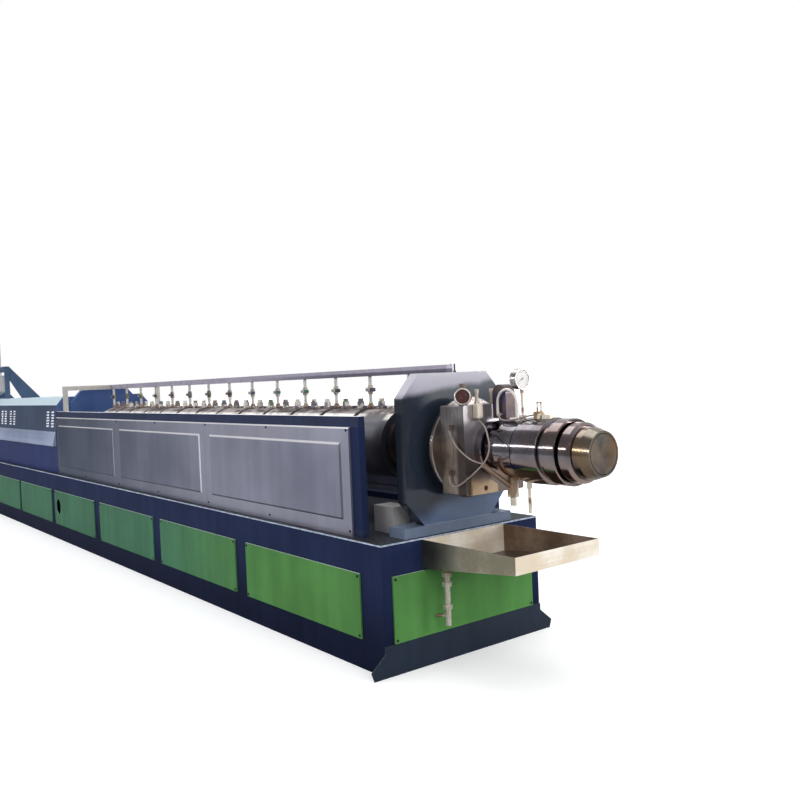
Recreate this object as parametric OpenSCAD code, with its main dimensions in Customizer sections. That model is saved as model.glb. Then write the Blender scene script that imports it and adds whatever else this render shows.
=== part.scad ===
// Plastic extruder with a long welded base, a guarded barrel with cooled heating zones,
// a round die head at the front end and a vented hood over the drive at the rear.
// Origin on the floor at the middle of the base's front end. +X is the way the plastic
// leaves, +Y points away from the operator's side and +Z is up.

/* [Base] */
// Width of the base over its side rails
base_w = 1100; // [900:10:1300]
// Height of the base from the floor to the top of the deck
base_h = 650; // [560:10:760]
// Height of the side and end rails
rail_h = 175; // [140:5:200]
// Width of the rail flanges and depth of the posts
rail_d = 60; // [50:1:80]
// Thickness of the rail webs and flanges
rail_t = 8; // [5:0.5:12]
// Thickness of the deck plates
deck_t = 8; // [5:0.5:12]
// Bays in the front section of the base
front_bays = 4; // [3:1:5]
// Bays in the rear section of the base
rear_bays = 3; // [2:1:4]
// Length of a side panel in the front section
front_panel_l = 1221; // [1000:1:1400]
// Length of a side panel in the rear section
rear_panel_l = 1197; // [1000:1:1400]
// Space between two side panels of the front section
front_gap = 146; // [90:1:200]
// Space between two side panels of the rear section
rear_gap = 75; // [60:1:120]
// Space from the end of the base to its first side panel
end_margin = 182; // [140:1:240]
// Space from a side panel to the joint between the two sections
joint_margin = 56; // [45:1:90]
// How far a panel laps over the frame round its window
panel_lap = 20; // [12:1:30]
// How far a side or end panel stands out of the frame
panel_pan = 9; // [5:0.5:16]
// Thickness of the sheet of the access panels
sheet_t = 2.5; // [1.5:0.5:4]
// Space from the side of the base to the end panel
end_panel_in = 60; // [45:1:100]
// Gap between the two bolted sections of the base
joint_gap = 0.3; // [0.2:0.1:1]
// Gap between two sheets or panels of a row
seam = 2; // [1:0.5:4]
// Width of a cross beam under the deck
cross_w = 80; // [50:5:120]
// Height of a cross beam under the deck
cross_h = 100; // [60:5:140]
// Width of the cable slot in one side panel
slot_w = 120; // [90:5:130]
// Height of the cable slot in one side panel
slot_h = 145; // [135:5:165]
// Distance from the panel's end to the middle of the slot
slot_in = 132; // [100:1:200]
// How far the slot sits over the middle of the panel
slot_up = 15; // [0:1:25]

/* [Feet] */
// Thickness of the skirt plates at the two ends
skirt_t = 8; // [5:1:15]
// How far the skirt's ears reach out past the base
ear_out = 88; // [50:1:120]
// Height at which the ears start
ear_top = 116; // [80:1:140]
// Height of the ears' outer corner
ear_tip = 44; // [20:1:60]
// How far the ears draw in again at the floor
ear_in = 16; // [5:1:30]

/* [Drip tray] */
// Length of the tray in front of the base
tray_l = 652; // [500:1:800]
// Width of the tray
tray_w = 580; // [450:1:700]
// Depth of the tray at the base
tray_back_h = 150; // [120:1:155]
// Depth of the tray at its front edge
tray_front_h = 82; // [60:1:110]
// Thickness of the tray's sheet
tray_t = 3; // [2:0.5:5]
// Outer radius of the drain pipe
drain_r = 15; // [10:0.5:22]
// Length of the drain pipe below the tray
drain_l = 290; // [250:5:320]
// Distance from the base to the middle of the drain
drain_x = 95; // [60:1:140]
// Distance from the tray's side to the middle of the drain
drain_in = 75; // [50:1:110]
// Height of the hexagon nuts on the drain
drain_nut_h = 24; // [18:1:28]
// Length of the handle on the drain's valve
drain_handle_l = 62; // [40:1:80]

/* [Yokes] */
// Width of a yoke over its sides
yoke_w = 700; // [620:5:800]
// Height of a yoke
yoke_h = 780; // [700:5:860]
// Thickness of a yoke
yoke_t = 68; // [40:1:100]
// Width of a yoke's flat top and bottom
yoke_flat = 474; // [360:2:560]
// Height of a yoke's chamfered corners
yoke_chamfer_h = 125; // [90:1:160]
// Distance from the front end of the base to the front yoke
yoke_back = 36; // [20:1:60]
// Distance from the front end of the base to the rear yoke
rear_yoke_back = 5500; // [5450:5:5540]
// Height of the beams that carry the yokes
beam_h = 52; // [40:1:80]
// Length of the front beam along the machine
beam_d = 130; // [100:1:170]
// How far the beams stand out in front of the yokes
beam_proud = 10; // [0:1:20]
// Width of the beams across the machine
beam_w = 750; // [650:5:850]

/* [Deck box] */
// Length of the small box on the deck
box_l = 165; // [120:1:200]
// Depth of the box across the machine
box_d = 110; // [80:1:150]
// Height of the box
box_h = 140; // [100:1:170]
// Distance from the side of the base to the box's face
box_in = 232; // [180:1:260]
// Space between the front beam and the box
box_gap = 39; // [10:1:80]

/* [Barrel] */
// Outer radius of the barrel
barrel_r = 115; // [95:1:140]
// Length of the barrel behind the rear yoke
barrel_tail = 420; // [300:10:700]
// Outer radius of the barrel's nose in front of the yoke
nose_r = 172; // [160:1:190]
// How far the nose reaches out past the base
nose_out = 51; // [35:1:80]
// Outer radius of the jackets over the heating zones
jacket_r = 200; // [175:1:220]
// Distance between two heating zones
zone_pitch = 371; // [340:1:371]
// Number of heating zones
zones = 13; // [10:1:13]
// Distance from the front end of the base to the first drop pipe
first_drop = 414; // [380:1:450]
// Space between two jackets
jacket_gap = 44; // [36:1:60]
// Thickness of a jacket's sheet
jacket_t = 4; // [2:0.5:6]
// Thickness of a jacket's end rings
jacket_end_t = 8; // [5:1:14]
// Outer radius of the cooling collars between the jackets
collar_r = 165; // [140:1:172]
// Width of a cooling collar
collar_w = 34; // [24:1:36]
// Radius of a terminal cap on a jacket
cap_r = 22; // [12:1:28]
// Height of a terminal cap
cap_h = 58; // [30:1:80]
// Distance between the two terminal caps of a zone
cap_space = 160; // [100:5:200]

/* [Guard] */
// Distance from the side of the base to the face of the guard frame
guard_in = 60; // [30:1:100]
// Height of the guard over the deck
guard_h = 625; // [560:1:640]
// Width of a guard post seen from the side
guard_post_w = 75; // [50:1:90]
// Depth of the guard's posts and rails
guard_d = 40; // [30:1:60]
// Height of the guard's top rail
guard_rail_h = 56; // [40:1:70]
// Distance from the front end of the base to the guard
guard_front = 230; // [200:1:260]
// Panels on each side of the guard
guard_panels = 3; // [2:1:4]
// Width of the guard's rear posts that its panels leave bare
guard_rear_w = 50; // [30:1:90]
// Thickness of a guard panel
guard_panel_t = 12; // [10:0.5:16]
// Chamfer along the top edge of a guard panel
guard_bevel = 8; // [4:0.5:9]
// How far the field of a guard panel stands out
emboss = 4; // [2:0.5:8]
// Width of the plain edge round the field
emboss_edge = 82; // [60:1:110]

/* [Cooling pipes] */
// Width and height of the water header
header_s = 42; // [34:1:54]
// Distance from the front yoke's face to the end of the header
header_in = 28; // [0:1:50]
// Distance from the last drop pipe to the portal that carries the header
portal_gap = 12; // [11:1:40]
// Outer radius of a drop pipe
drop_r = 10.5; // [8:0.5:13]
// Height of a ball valve's middle over the barrel's axis
valve_up = 310; // [280:1:330]
// Length of a ball valve's body
valve_h = 54; // [40:1:64]
// Radius of a ball valve's body
valve_r = 17; // [14:0.5:24]
// Length of a ball valve's lever
lever_l = 84; // [60:1:110]

/* [Head] */
// Radius of the clamp ring at the end of the barrel
ring_r = 262; // [240:1:280]
// Thickness of the clamp ring
ring_t = 26; // [18:1:40]
// Width of the screen changer's block
changer_w = 400; // [360:2:440]
// Height of the screen changer's block
changer_h = 444; // [400:2:470]
// Length of the screen changer's block
changer_l = 173; // [150:1:200]
// Chamfer of the block's long edges
changer_bevel = 6; // [2:1:12]
// Radius of the adapter neck's flange
neck_r = 138; // [128:1:148]
// Length of that flange
neck_flange_l = 42; // [30:1:50]
// Radius of the neck in front of its flange
neck_thin_r = 110; // [100:1:118]
// Length of the adapter neck
neck_l = 138; // [130:1:160]
// Radius of the die's rear section
die_a_r = 150; // [140:1:165]
// Length of the die's rear section
die_a_l = 112; // [100:1:130]
// Radius of the die's middle section
die_b_r = 158; // [150:1:175]
// Length of the die's middle section
die_b_l = 154; // [145:1:180]
// Length of the step in front of the middle section
step_l = 38; // [24:1:50]
// Radius of the die's clamp ring
die_c_r = 155; // [145:1:170]
// Length of the die's clamp ring
die_c_l = 71; // [50:1:90]
// Radius of the die's front section
die_d_r = 138; // [120:1:150]
// Length of the die's front section
die_d_l = 70; // [55:1:85]
// Width of the grooves between the sections
groove_w = 13; // [8:1:20]
// Depth of the grooves between the sections
groove_d = 14; // [6:1:20]
// Chamfer of the sections' edges
edge_bevel = 5; // [2:0.5:8]
// Radius of the annular gap that the foam leaves by
lip_r = 92; // [70:1:105]
// Width of the annular gap
lip_gap = 3; // [2:0.5:4]
// Length of the lip ring
lip_l = 85; // [60:1:110]

/* [Injection valve] */
// Width of the valve's body along the machine
inject_w = 92; // [80:2:110]
// Depth of the valve's body across the machine
inject_d = 64; // [50:2:90]
// Height of the valve's rounded top over the barrel's axis
inject_up = 318; // [290:1:330]
// Height of the underside of the valve's body over the barrel's axis
inject_low = 153; // [150:1:170]
// Radius of the stem that the valve stands on
inject_stem_r = 27; // [20:1:28]
// Distance from the neck's rear face to the middle of the valve
inject_x = 80; // [76:1:88]
// Outer radius of the bent tube over the valve
tube_r = 7; // [5:0.5:9]
// Radius of the tube's bend
tube_bend = 65; // [60:1:75]
// Drop of the bend's middle below the middle of the valve's rounded top
tube_drop = 44; // [40:1:46]
// Distance from the middle of the machine to the bent tube
tube_y = 48; // [46:1:60]
// Distance from the die's rear face to the bent tube's front leg
tube_in = 77; // [70:1:84]

/* [Fittings] */
// Outer radius of the round coupling on the screen changer
coupling_r = 44; // [36:1:54]
// Depth of that coupling
coupling_d = 60; // [40:1:80]
// Height of the sensors on the screen changer
sensor_h = 76; // [50:1:90]
// Radius of a sensor
sensor_r = 9; // [6:0.5:12]
// Height of the cable housing on the screen changer
housing_h = 68; // [50:1:80]
// Thickness of the lifting lug
lug_t = 14; // [8:1:20]
// Width of the lifting lug
lug_w = 173; // [140:1:190]
// Height of the lifting lug
lug_h = 110; // [100:1:112]
// Radius of the hole in the lifting lug
lug_hole_r = 13; // [8:0.5:16]
// Radius of the cables on the head
cable_r = 4; // [3:0.5:5]
// Radius of the feed tube beside the die
feed_tube_r = 13; // [9:0.5:16]
// Radius of the hexagon coupling under the die
tee_r = 28; // [22:1:32]
// Length of that coupling below the die's rear section
tee_l = 76; // [50:1:90]
// Length of the nozzle below the coupling
nozzle_l = 42; // [20:1:60]
// Radius of the thin pipe under the die
riser_r = 8; // [6:0.5:10]
// Length of the thin pipe below the die's middle section
riser_l = 136; // [90:1:150]
// Width of the terminal block on top of the die
terminal_w = 40; // [30:1:48]
// Height of the terminal block over the die
terminal_h = 28; // [20:1:40]
// Height of the strap over the terminal block
strap_up = 46; // [30:1:60]

/* [Gauge] */
// Outer radius of the pressure gauge
gauge_r = 50; // [40:1:60]
// Depth of the gauge's case
gauge_d = 44; // [30:1:55]
// Height of the gauge's middle over the barrel's axis
gauge_up = 341; // [300:1:380]
// Radius of the gauge's stem
stem_r = 9; // [6:0.5:12]

/* [Hood] */
// Distance from the side of the base to the hood's lower panels
hood_in = 55; // [30:1:100]
// Height of the lower edge of the apron
apron_low = 924; // [880:1:960]
// Height of the upper edge of the apron
apron_high = 1069; // [1020:1:1100]
// How far the apron flares out at its lower edge
apron_out = 35; // [20:1:50]
// Height at which the roof's slope starts
eave_z = 1340; // [1300:1:1370]
// How far the hood leans in up to that height
eave_in = 21; // [10:1:40]
// Height of the hood's roof
roof_z = 1421; // [1400:1:1460]
// How far the slope draws in at each side
slope_in = 66; // [40:1:100]
// Thickness of the hood's sheets
hood_t = 5; // [3:0.5:8]
// Segments of the hood
hood_segments = 2; // [1:1:3]
// Length of a vent slot
vent_l = 88; // [60:1:100]
// Height of a vent slot
vent_h = 13; // [8:1:18]
// Distance between two rows of vent slots
vent_pitch = 29; // [24:1:34]
// Distance from the end of a hood segment to its vent slots
vent_in = 80; // [40:5:160]
// Rows of vent slots in a column
vent_rows = 6; // [3:1:6]

/* [Feed stand] */
// Distance from the rear end of the base to the stand's rear post
stand_rear = 119; // [60:1:160]
// Distance over the stand's two posts
stand_l = 1400; // [1350:5:1450]
// Distance from the edge of the roof to the middle of the posts
stand_in = 42; // [30:1:70]
// Width of the posts and beams of the stand
stand_s = 50; // [40:1:60]
// Height of the stand's top over the roof
stand_h = 405; // [380:5:450]
// Height of the beam on the posts
stand_beam = 68; // [50:1:90]
// Height of a diagonal channel where it meets its post
brace_h = 166; // [120:1:190]
// Width of a diagonal channel at the roof
brace_w = 223; // [180:1:240]
// Thickness of a diagonal channel
brace_t = 24; // [14:1:30]
// Distance from the middle of the machine to the channel's foot
brace_foot = 21; // [0:1:40]
// Distance from the posts to the middle of the hopper across the machine
hopper_in = 46; // [30:1:80]
// Distance from the front post to the middle of the hopper
hopper_back = 1080; // [1000:5:1100]
// Radius of the hopper
hopper_r = 178; // [160:1:190]
// Thickness of the hopper's sheet
hopper_t = 3; // [2:0.5:5]
// Space between the hopper's rim and the stand's top
hopper_drop = 95; // [92:1:120]
// Height of the hopper's straight part
hopper_h = 210; // [150:1:240]
// Width and height of the hopper's rim and foot flanges
hopper_rim = 12; // [8:1:16]
// Radius of the hopper's outlet
outlet_r = 55; // [45:1:62]
// Radius of the loader pipe over the hopper
loader_r = 17; // [12:0.5:22]
// Height of the loader pipe over the stand
loader_h = 355; // [300:5:380]

/* [Hidden] */

navy = "#1f2f5c";
leaf = "#4f9a45";
steel = "#8d93a0";
bright = "#c9cdd2";
dark = "#3a3a40";
brown = "#5a4038";

fit = 0.3;

// Routes of the three cables on the head, from the middle of the screen changer's front face
loop_way = [[22, -120, 157.6], [22, -120, 154], [22, -120, 150], [40, -126, 140],
    [96, -150, 117], [148, -185, 80], [192, -218, 37], [198, -235, -5], [169, -235, -44],
    [119, -235, -83], [54, -235, -127], [-17, -225, -163], [-73, -213, -176],
    [-101, -213, -160], [-107, -213, -137], [-107, -213, -130], [-107, -213, -122.4]];
side_way = [[-93, -213, 102.6], [-93, -213, 99], [-93, -213, 95], [-84, -213, 72],
    [-53, -213, 29], [3, -213, -11], [60, -214, -38], [106, -217, -47],
    [124.9, -211, -53.1], [126.4, -205.6, -57.4], [127.9, -200.3, -61.8]];
valve_way = [[100, -inject_d/2 - fit, 172], [100, -40, 172], [100, -46, 172], [112, -66, 161],
    [140, -82, 150], [180, -86, 146], [230, -80, 150], [270, -52, 163],
    [300, -20, 170], [305, -20, 170], [310.6, -20, 170]];
loop_clip = [-107, -122];
side_clip = [-93, 103];
feed_end = [128, -200, -62];

front_l = end_margin + front_bays*front_panel_l + (front_bays - 1)*front_gap + joint_margin;
rear_l = joint_margin + rear_bays*rear_panel_l + (rear_bays - 1)*rear_gap + end_margin;
base_l = front_l + rear_l;
rail_top = base_h - deck_t;
window_low = rail_h;
window_high = rail_top - rail_h;
panel_low = window_low - panel_lap;
panel_high = window_high + panel_lap;
half_w = base_w/2;

yoke_z = base_h + beam_h;
axis_z = yoke_z + yoke_h/2;
yoke_top = yoke_z + yoke_h;

ring_x = nose_out;
changer_x = ring_x + ring_t;
neck_x = changer_x + changer_l;
die_a_x = neck_x + neck_l;
die_b_x = die_a_x + die_a_l + groove_w;
die_c_x = die_b_x + die_b_l + step_l;
die_d_x = die_c_x + die_c_l;
lip_x = die_d_x + die_d_l;
changer_top = axis_z + changer_h/2;

guard_y = half_w - guard_in;
guard_z = base_h + guard_h;
hood_x = rear_yoke_back + yoke_t;
guard_back = hood_x - seam;
guard_panel_x = guard_front + guard_post_w;
guard_panel_l = (guard_back - guard_rear_w - guard_panel_x)/guard_panels;

hood_l = base_l - hood_x;
segment_l = (hood_l - 2*hood_t)/hood_segments;

header_z = yoke_top;
portal_x = first_drop + zones*zone_pitch + portal_gap;

module place_on_axis(x) {
    translate([x, 0, axis_z]) rotate([0, 90, 0]) children();
}

module both_sides() {
    children();
    mirror([0, 1, 0]) children();
}

// Panel starts along the base, counted back from the front end
function front_panel_start(i) = end_margin + i*(front_panel_l + front_gap);
function rear_panel_start(i) = front_l + joint_margin + i*(rear_panel_l + rear_gap);
function zone_mid(i) = first_drop + (i + 0.5)*zone_pitch;

// Base

module rail(from, to, low) {
    translate([-to, -half_w, low]) difference() {
        cube([to - from, rail_d, rail_h]);
        translate([-1, rail_t, rail_t]) cube([to - from + 2, rail_d, rail_h - 2*rail_t]);
    }
}

module side_rails(low) {
    color(navy) both_sides() {
        rail(rail_d, front_l, low);
        rail(front_l + joint_gap, base_l - rail_d, low);
    }
}

module side_top_rails() side_rails(window_high);

module side_bottom_rails() side_rails(0);

module post(from, to, depth) {
    translate([-to, -half_w, window_low]) cube([to - from, depth, window_high - window_low]);
}

module side_posts() {
    corner_d = end_panel_in + panel_lap;
    color(navy) both_sides() {
        post(0, end_margin + panel_lap, corner_d);
        post(base_l - end_margin - panel_lap, base_l, corner_d);
        for (i = [0:front_bays - 2])
            post(front_panel_start(i) + front_panel_l - panel_lap,
                front_panel_start(i + 1) + panel_lap, rail_d);
        for (i = [0:rear_bays - 2])
            post(rear_panel_start(i) + rear_panel_l - panel_lap,
                rear_panel_start(i + 1) + panel_lap, rail_d);
        post(front_l - joint_margin - panel_lap, front_l, rail_d);
        post(front_l + joint_gap, front_l + joint_margin + panel_lap, rail_d);
    }
}

module end_rails() {
    color(navy) for (x = [-rail_d, -base_l], low = [0, window_high])
        translate([x, -half_w, low]) cube([rail_d, base_w, rail_h]);
}

module cross_beams() {
    span = base_w - 2*rail_d;
    mids = concat([for (i = [0:front_bays - 1]) front_panel_start(i) + front_panel_l/2],
        [for (i = [0:rear_bays - 1]) rear_panel_start(i) + rear_panel_l/2]);
    color(navy) for (x = mids, low = [0, rail_top - cross_h])
        translate([-x - cross_w/2, -span/2, low]) difference() {
            cube([cross_w, span, cross_h]);
            translate([rail_t, -1, rail_t])
                cube([cross_w, span + 2, cross_h - 2*rail_t]);
        }
}

module deck_plates() {
    color(navy) {
        translate([-front_l, -half_w, rail_top]) cube([front_l, base_w, deck_t]);
        translate([-base_l, -half_w, rail_top])
            cube([rear_l - joint_gap, base_w, deck_t]);
    }
}

module skirt() {
    top = panel_low - seam;
    rotate([90, 0, 90]) linear_extrude(skirt_t) polygon([
        [-half_w, top], [-half_w, ear_top], [-half_w - ear_out, ear_tip],
        [-half_w - ear_out + ear_in, 0], [half_w + ear_out - ear_in, 0],
        [half_w + ear_out, ear_tip], [half_w, ear_top], [half_w, top]]);
}

module end_skirts() {
    color(navy) {
        skirt();
        translate([-base_l - skirt_t, 0, 0]) skirt();
    }
}

// Access panels are shallow pans, open at the back

module pan(l, h, out) {
    difference() {
        cube([l, out, h]);
        translate([sheet_t, sheet_t, sheet_t])
            cube([l - 2*sheet_t, out, h - 2*sheet_t]);
    }
}

module side_panel(from, l, slotted) {
    translate([-from - l, -half_w - panel_pan, panel_low]) difference() {
        pan(l, panel_high - panel_low, panel_pan);
        if (slotted)
            translate([slot_in, -1, (panel_high - panel_low)/2 + slot_up]) rotate([-90, 0, 0])
                linear_extrude(panel_pan + 2) for (s = [-1, 1])
                    translate([0, s*(slot_h - slot_w)/2]) union() {
                        circle(d = slot_w, $fn = 48);
                        translate([-slot_w/2, s > 0 ? -(slot_h - slot_w)/2 : 0])
                            square([slot_w, (slot_h - slot_w)/2]);
                    }
    }
}

module side_panels(slotted) {
    for (i = [0:front_bays - 1])
        side_panel(front_panel_start(i), front_panel_l, slotted && i == front_bays - 1);
    for (i = [0:rear_bays - 1])
        side_panel(rear_panel_start(i), rear_panel_l, false);
}

module near_side_panels() color(leaf) side_panels(true);

module far_side_panels() color(leaf) mirror([0, 1, 0]) side_panels(false);

module end_panel() {
    w = base_w - 2*end_panel_in;
    rotate([0, 0, 90]) translate([-w/2, -panel_pan, panel_low])
        pan(w, panel_high - panel_low, panel_pan);
}

module end_panels() {
    color(leaf) {
        end_panel();
        translate([-base_l, 0, 0]) mirror([1, 0, 0]) end_panel();
    }
}

// Drip tray and its drain

tray_top = rail_top;

module tray_profile(inset) {
    polygon([[inset, tray_top + (inset > 0 ? 1 : 0)],
        [tray_l - inset, tray_top + (inset > 0 ? 1 : 0)],
        [tray_l - inset, tray_top - tray_front_h + inset],
        [inset, tray_top - tray_back_h + inset]]);
}

module drip_tray() {
    color(bright) difference() {
        translate([0, tray_w/2, 0]) rotate([90, 0, 0]) linear_extrude(tray_w) tray_profile(0);
        translate([0, tray_w/2 - tray_t, 0]) rotate([90, 0, 0])
            linear_extrude(tray_w - 2*tray_t) tray_profile(tray_t);
    }
}

tray_slope = (tray_back_h - tray_front_h)/tray_l;
drain_nut_r = drain_r*1.6;
drain_top = tray_top - tray_back_h + (drain_x - drain_nut_r)*tray_slope;

module tray_drain() {
    socket_h = drain_nut_h/2;
    valve_low = drain_l*0.71;
    color(bright) translate([drain_x, drain_in - tray_w/2, drain_top]) {
        translate([0, 0, -drain_l]) cylinder(r = drain_r, h = drain_l, $fn = 32);
        for (low = [drain_l*0.15, drain_l*0.32, valve_low])
            translate([0, 0, -low]) cylinder(r = drain_nut_r, h = drain_nut_h, $fn = 6);
        translate([0, 0, -socket_h]) cylinder(r = drain_nut_r, h = socket_h, $fn = 32);
        translate([0, 0, -valve_low - drain_nut_h*1.5]) rotate([90, 0, -60])
            cylinder(r = drain_r*0.55, h = drain_handle_l, $fn = 20);
    }
}

// Yokes

module yoke_beam(front, d) {
    translate([-front - d, -beam_w/2, base_h]) cube([d, beam_w, beam_h]);
}

module yoke_beams() {
    color(navy) {
        yoke_beam(yoke_back - beam_proud, beam_d);
        yoke_beam(rear_yoke_back - beam_proud, yoke_t + beam_proud);
    }
}

module yoke(front) {
    side = (yoke_w - yoke_flat)/2;
    translate([-front - yoke_t, 0, yoke_z]) difference() {
        rotate([90, 0, 90]) linear_extrude(yoke_t) polygon([
            [-yoke_flat/2, 0], [yoke_flat/2, 0],
            [yoke_flat/2 + side, yoke_chamfer_h], [yoke_flat/2 + side, yoke_h - yoke_chamfer_h],
            [yoke_flat/2, yoke_h], [-yoke_flat/2, yoke_h],
            [-yoke_flat/2 - side, yoke_h - yoke_chamfer_h], [-yoke_flat/2 - side, yoke_chamfer_h]]);
        translate([-1, 0, yoke_h/2]) rotate([0, 90, 0])
            cylinder(r = barrel_r + fit, h = yoke_t + 2, $fn = 96);
    }
}

module front_yoke() color(navy) yoke(yoke_back);

module rear_yoke() color(navy) yoke(rear_yoke_back);

module deck_box() {
    back = yoke_back - beam_proud + beam_d + box_gap;
    color(bright) translate([-back - box_l, box_in - half_w, base_h])
        cube([box_l, box_d, box_h]);
}

// Barrel and its heating zones

module barrel() {
    tail = rear_yoke_back + yoke_t + barrel_tail;
    color(dark) {
        place_on_axis(-tail) cylinder(r = barrel_r, h = tail - yoke_back, $fn = 96);
        place_on_axis(-yoke_back) cylinder(r = nose_r, h = yoke_back + nose_out, $fn = 96);
    }
}

module jacket() {
    l = zone_pitch - jacket_gap;
    rotate_extrude($fn = 96) {
        translate([jacket_r - jacket_t, 0]) square([jacket_t, l]);
        for (z = [0, l - jacket_end_t])
            translate([barrel_r + fit, z])
                square([jacket_r - barrel_r - fit, jacket_end_t]);
    }
}

module heater_jackets() {
    l = zone_pitch - jacket_gap;
    color(steel) for (i = [0:zones - 1]) place_on_axis(-zone_mid(i) - l/2) jacket();
}

module cooling_collars() {
    color(dark) for (i = [0:zones]) place_on_axis(-first_drop - i*zone_pitch - collar_w/2)
        difference() {
            cylinder(r = collar_r, h = collar_w, $fn = 96);
            translate([0, 0, -1]) cylinder(r = barrel_r + fit, h = collar_w + 2, $fn = 96);
        }
}

module terminal_caps() {
    // The foot of a cap is sunk to where the round jacket falls away beside it
    drop = jacket_r - sqrt(jacket_r*jacket_r - cap_r*cap_r);
    cap_body_h = cap_h*0.7;
    cap_neck_r = cap_r*0.72;
    color(bright) for (i = [0:zones - 1], s = [-1, 1])
        translate([-zone_mid(i) + s*cap_space/2, 0, axis_z]) difference() {
            translate([0, 0, jacket_r - drop]) {
                cylinder(r = cap_r, h = cap_body_h + drop, $fn = 24);
                cylinder(r = cap_neck_r, h = cap_h + drop, $fn = 24);
            }
            translate([-cap_r*2, 0, 0]) rotate([0, 90, 0])
                cylinder(r = jacket_r + fit, h = cap_r*4, $fn = 96);
        }
}

// Guard

module guard_rails() {
    l = guard_back - guard_front;
    color(navy) both_sides() {
        translate([-guard_front - l, -guard_y, guard_z - guard_rail_h])
            cube([l, guard_d, guard_rail_h]);
        translate([-guard_front - l, -guard_y, base_h]) cube([l, guard_d, guard_d]);
    }
}

module guard_posts() {
    low = base_h + guard_d;
    h = guard_z - guard_rail_h - low;
    front_w = guard_post_w + panel_lap;
    rear_w = guard_rear_w + panel_lap;
    color(navy) both_sides() {
        translate([-guard_front - front_w, -guard_y, low]) cube([front_w, guard_d, h]);
        translate([-guard_back, -guard_y, low]) cube([rear_w, guard_d, h]);
        for (i = [1:guard_panels - 1])
            translate([-guard_panel_x - i*guard_panel_l - guard_post_w/2, -guard_y, low])
                cube([guard_post_w, guard_d, h]);
    }
}

module guard_panel() {
    h = guard_h - guard_rail_h;
    l = guard_panel_l - seam;
    field_l = l - 2*emboss_edge;
    field_h = h - 2*emboss_edge;
    slope = emboss*1.5;
    rotate([90, 0, 90]) linear_extrude(l) polygon([[0, 0], [-guard_panel_t, 0],
        [-guard_panel_t, h - guard_bevel], [guard_bevel - guard_panel_t, h], [0, h]]);
    translate([emboss_edge, -guard_panel_t, emboss_edge]) hull() {
        translate([0, -fit, 0]) cube([field_l, 2*fit, field_h]);
        translate([slope, -emboss, slope]) cube([field_l - 2*slope, emboss, field_h - 2*slope]);
    }
}

module guard_panel_row() {
    for (i = [0:guard_panels - 1])
        translate([-guard_panel_x - (i + 1)*guard_panel_l, -guard_y, base_h])
            guard_panel();
}

module near_guard_panels() color(steel) guard_panel_row();

module far_guard_panels() color(steel) mirror([0, 1, 0]) guard_panel_row();

// Cooling water

module water_header() {
    color(navy) translate([-portal_x, -header_s/2, header_z])
        cube([portal_x - yoke_back - header_in, header_s, header_s]);
}

module header_portal() {
    color(navy) {
        translate([-portal_x - guard_d, -guard_y, header_z])
            cube([guard_d, 2*guard_y, header_s]);
        both_sides() translate([-portal_x - guard_d, -guard_y, guard_z])
            cube([guard_d, guard_d, header_z - guard_z]);
    }
}

module drop_pipes() {
    low = axis_z + collar_r + fit;
    valve = axis_z + valve_up;
    color(bright) for (i = [0:zones]) translate([-first_drop - i*zone_pitch, 0, 0]) {
        translate([0, 0, low]) cylinder(r = drop_r, h = valve - valve_h/2 - low, $fn = 24);
        translate([0, 0, valve + valve_h/2])
            cylinder(r = drop_r, h = header_z - valve - valve_h/2, $fn = 24);
    }
}

module ball_valve() {
    lever_h = 4;
    stem_l = valve_r + 10;
    lever_w = valve_r*1.1;
    translate([0, 0, -valve_h/2]) cylinder(r = drop_r + 4, h = valve_h, $fn = 6);
    translate([0, 0, -valve_h*0.3]) cylinder(r = valve_r, h = valve_h*0.6, $fn = 24);
    rotate([90, 0, 0]) cylinder(r = valve_r*0.45, h = stem_l, $fn = 20);
    translate([-lever_w/2, -stem_l - lever_h + 1, -lever_w/2])
        cube([lever_l + lever_w/2, lever_h, lever_w]);
}

module ball_valves() {
    color("seagreen") for (i = [0:zones])
        translate([-first_drop - i*zone_pitch, 0, axis_z + valve_up]) ball_valve();
}

// Die head

module revolved(x, outline) {
    place_on_axis(x) rotate_extrude($fn = 128) polygon(outline);
}

module clamp_ring() {
    e = edge_bevel;
    color(dark) revolved(ring_x, [[0, 0], [ring_r - e, 0], [ring_r, e], [ring_r, ring_t - e],
        [ring_r - e, ring_t], [0, ring_t]]);
}

module screen_changer() {
    w = changer_w/2;
    h = changer_h/2;
    e = changer_bevel;
    color(dark) along_x(changer_x, changer_l) translate([0, axis_z]) polygon([
        [e - w, -h], [w - e, -h], [w, e - h], [w, h - e],
        [w - e, h], [e - w, h], [-w, h - e], [-w, e - h]]);
}

module adapter_neck() {
    cone = neck_r - neck_thin_r;
    color(dark) revolved(neck_x, [[0, 0], [neck_r, 0], [neck_r, neck_flange_l - edge_bevel],
        [neck_r - edge_bevel, neck_flange_l], [neck_thin_r, neck_flange_l + cone/4],
        [neck_thin_r, neck_l], [0, neck_l]]);
}

module die_rear_section() {
    e = edge_bevel;
    color(dark) revolved(die_a_x, [[0, 0], [die_a_r - e, 0], [die_a_r, e], [die_a_r, die_a_l],
        [die_a_r - groove_d, die_a_l], [die_a_r - groove_d, die_a_l + groove_w],
        [0, die_a_l + groove_w]]);
}

module die_middle_section() {
    step_r = die_b_r - groove_d;
    color(dark) revolved(die_b_x, [[0, 0], [die_b_r, 0], [die_b_r, die_b_l],
        [step_r, die_b_l + groove_d*0.4], [step_r, die_b_l + step_l], [0, die_b_l + step_l]]);
}

module die_clamp_ring() {
    e = edge_bevel;
    color(dark) revolved(die_c_x, [[0, 0], [die_c_r - e, 0], [die_c_r, e],
        [die_c_r, die_c_l - e], [die_c_r - e, die_c_l], [0, die_c_l]]);
}

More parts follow.
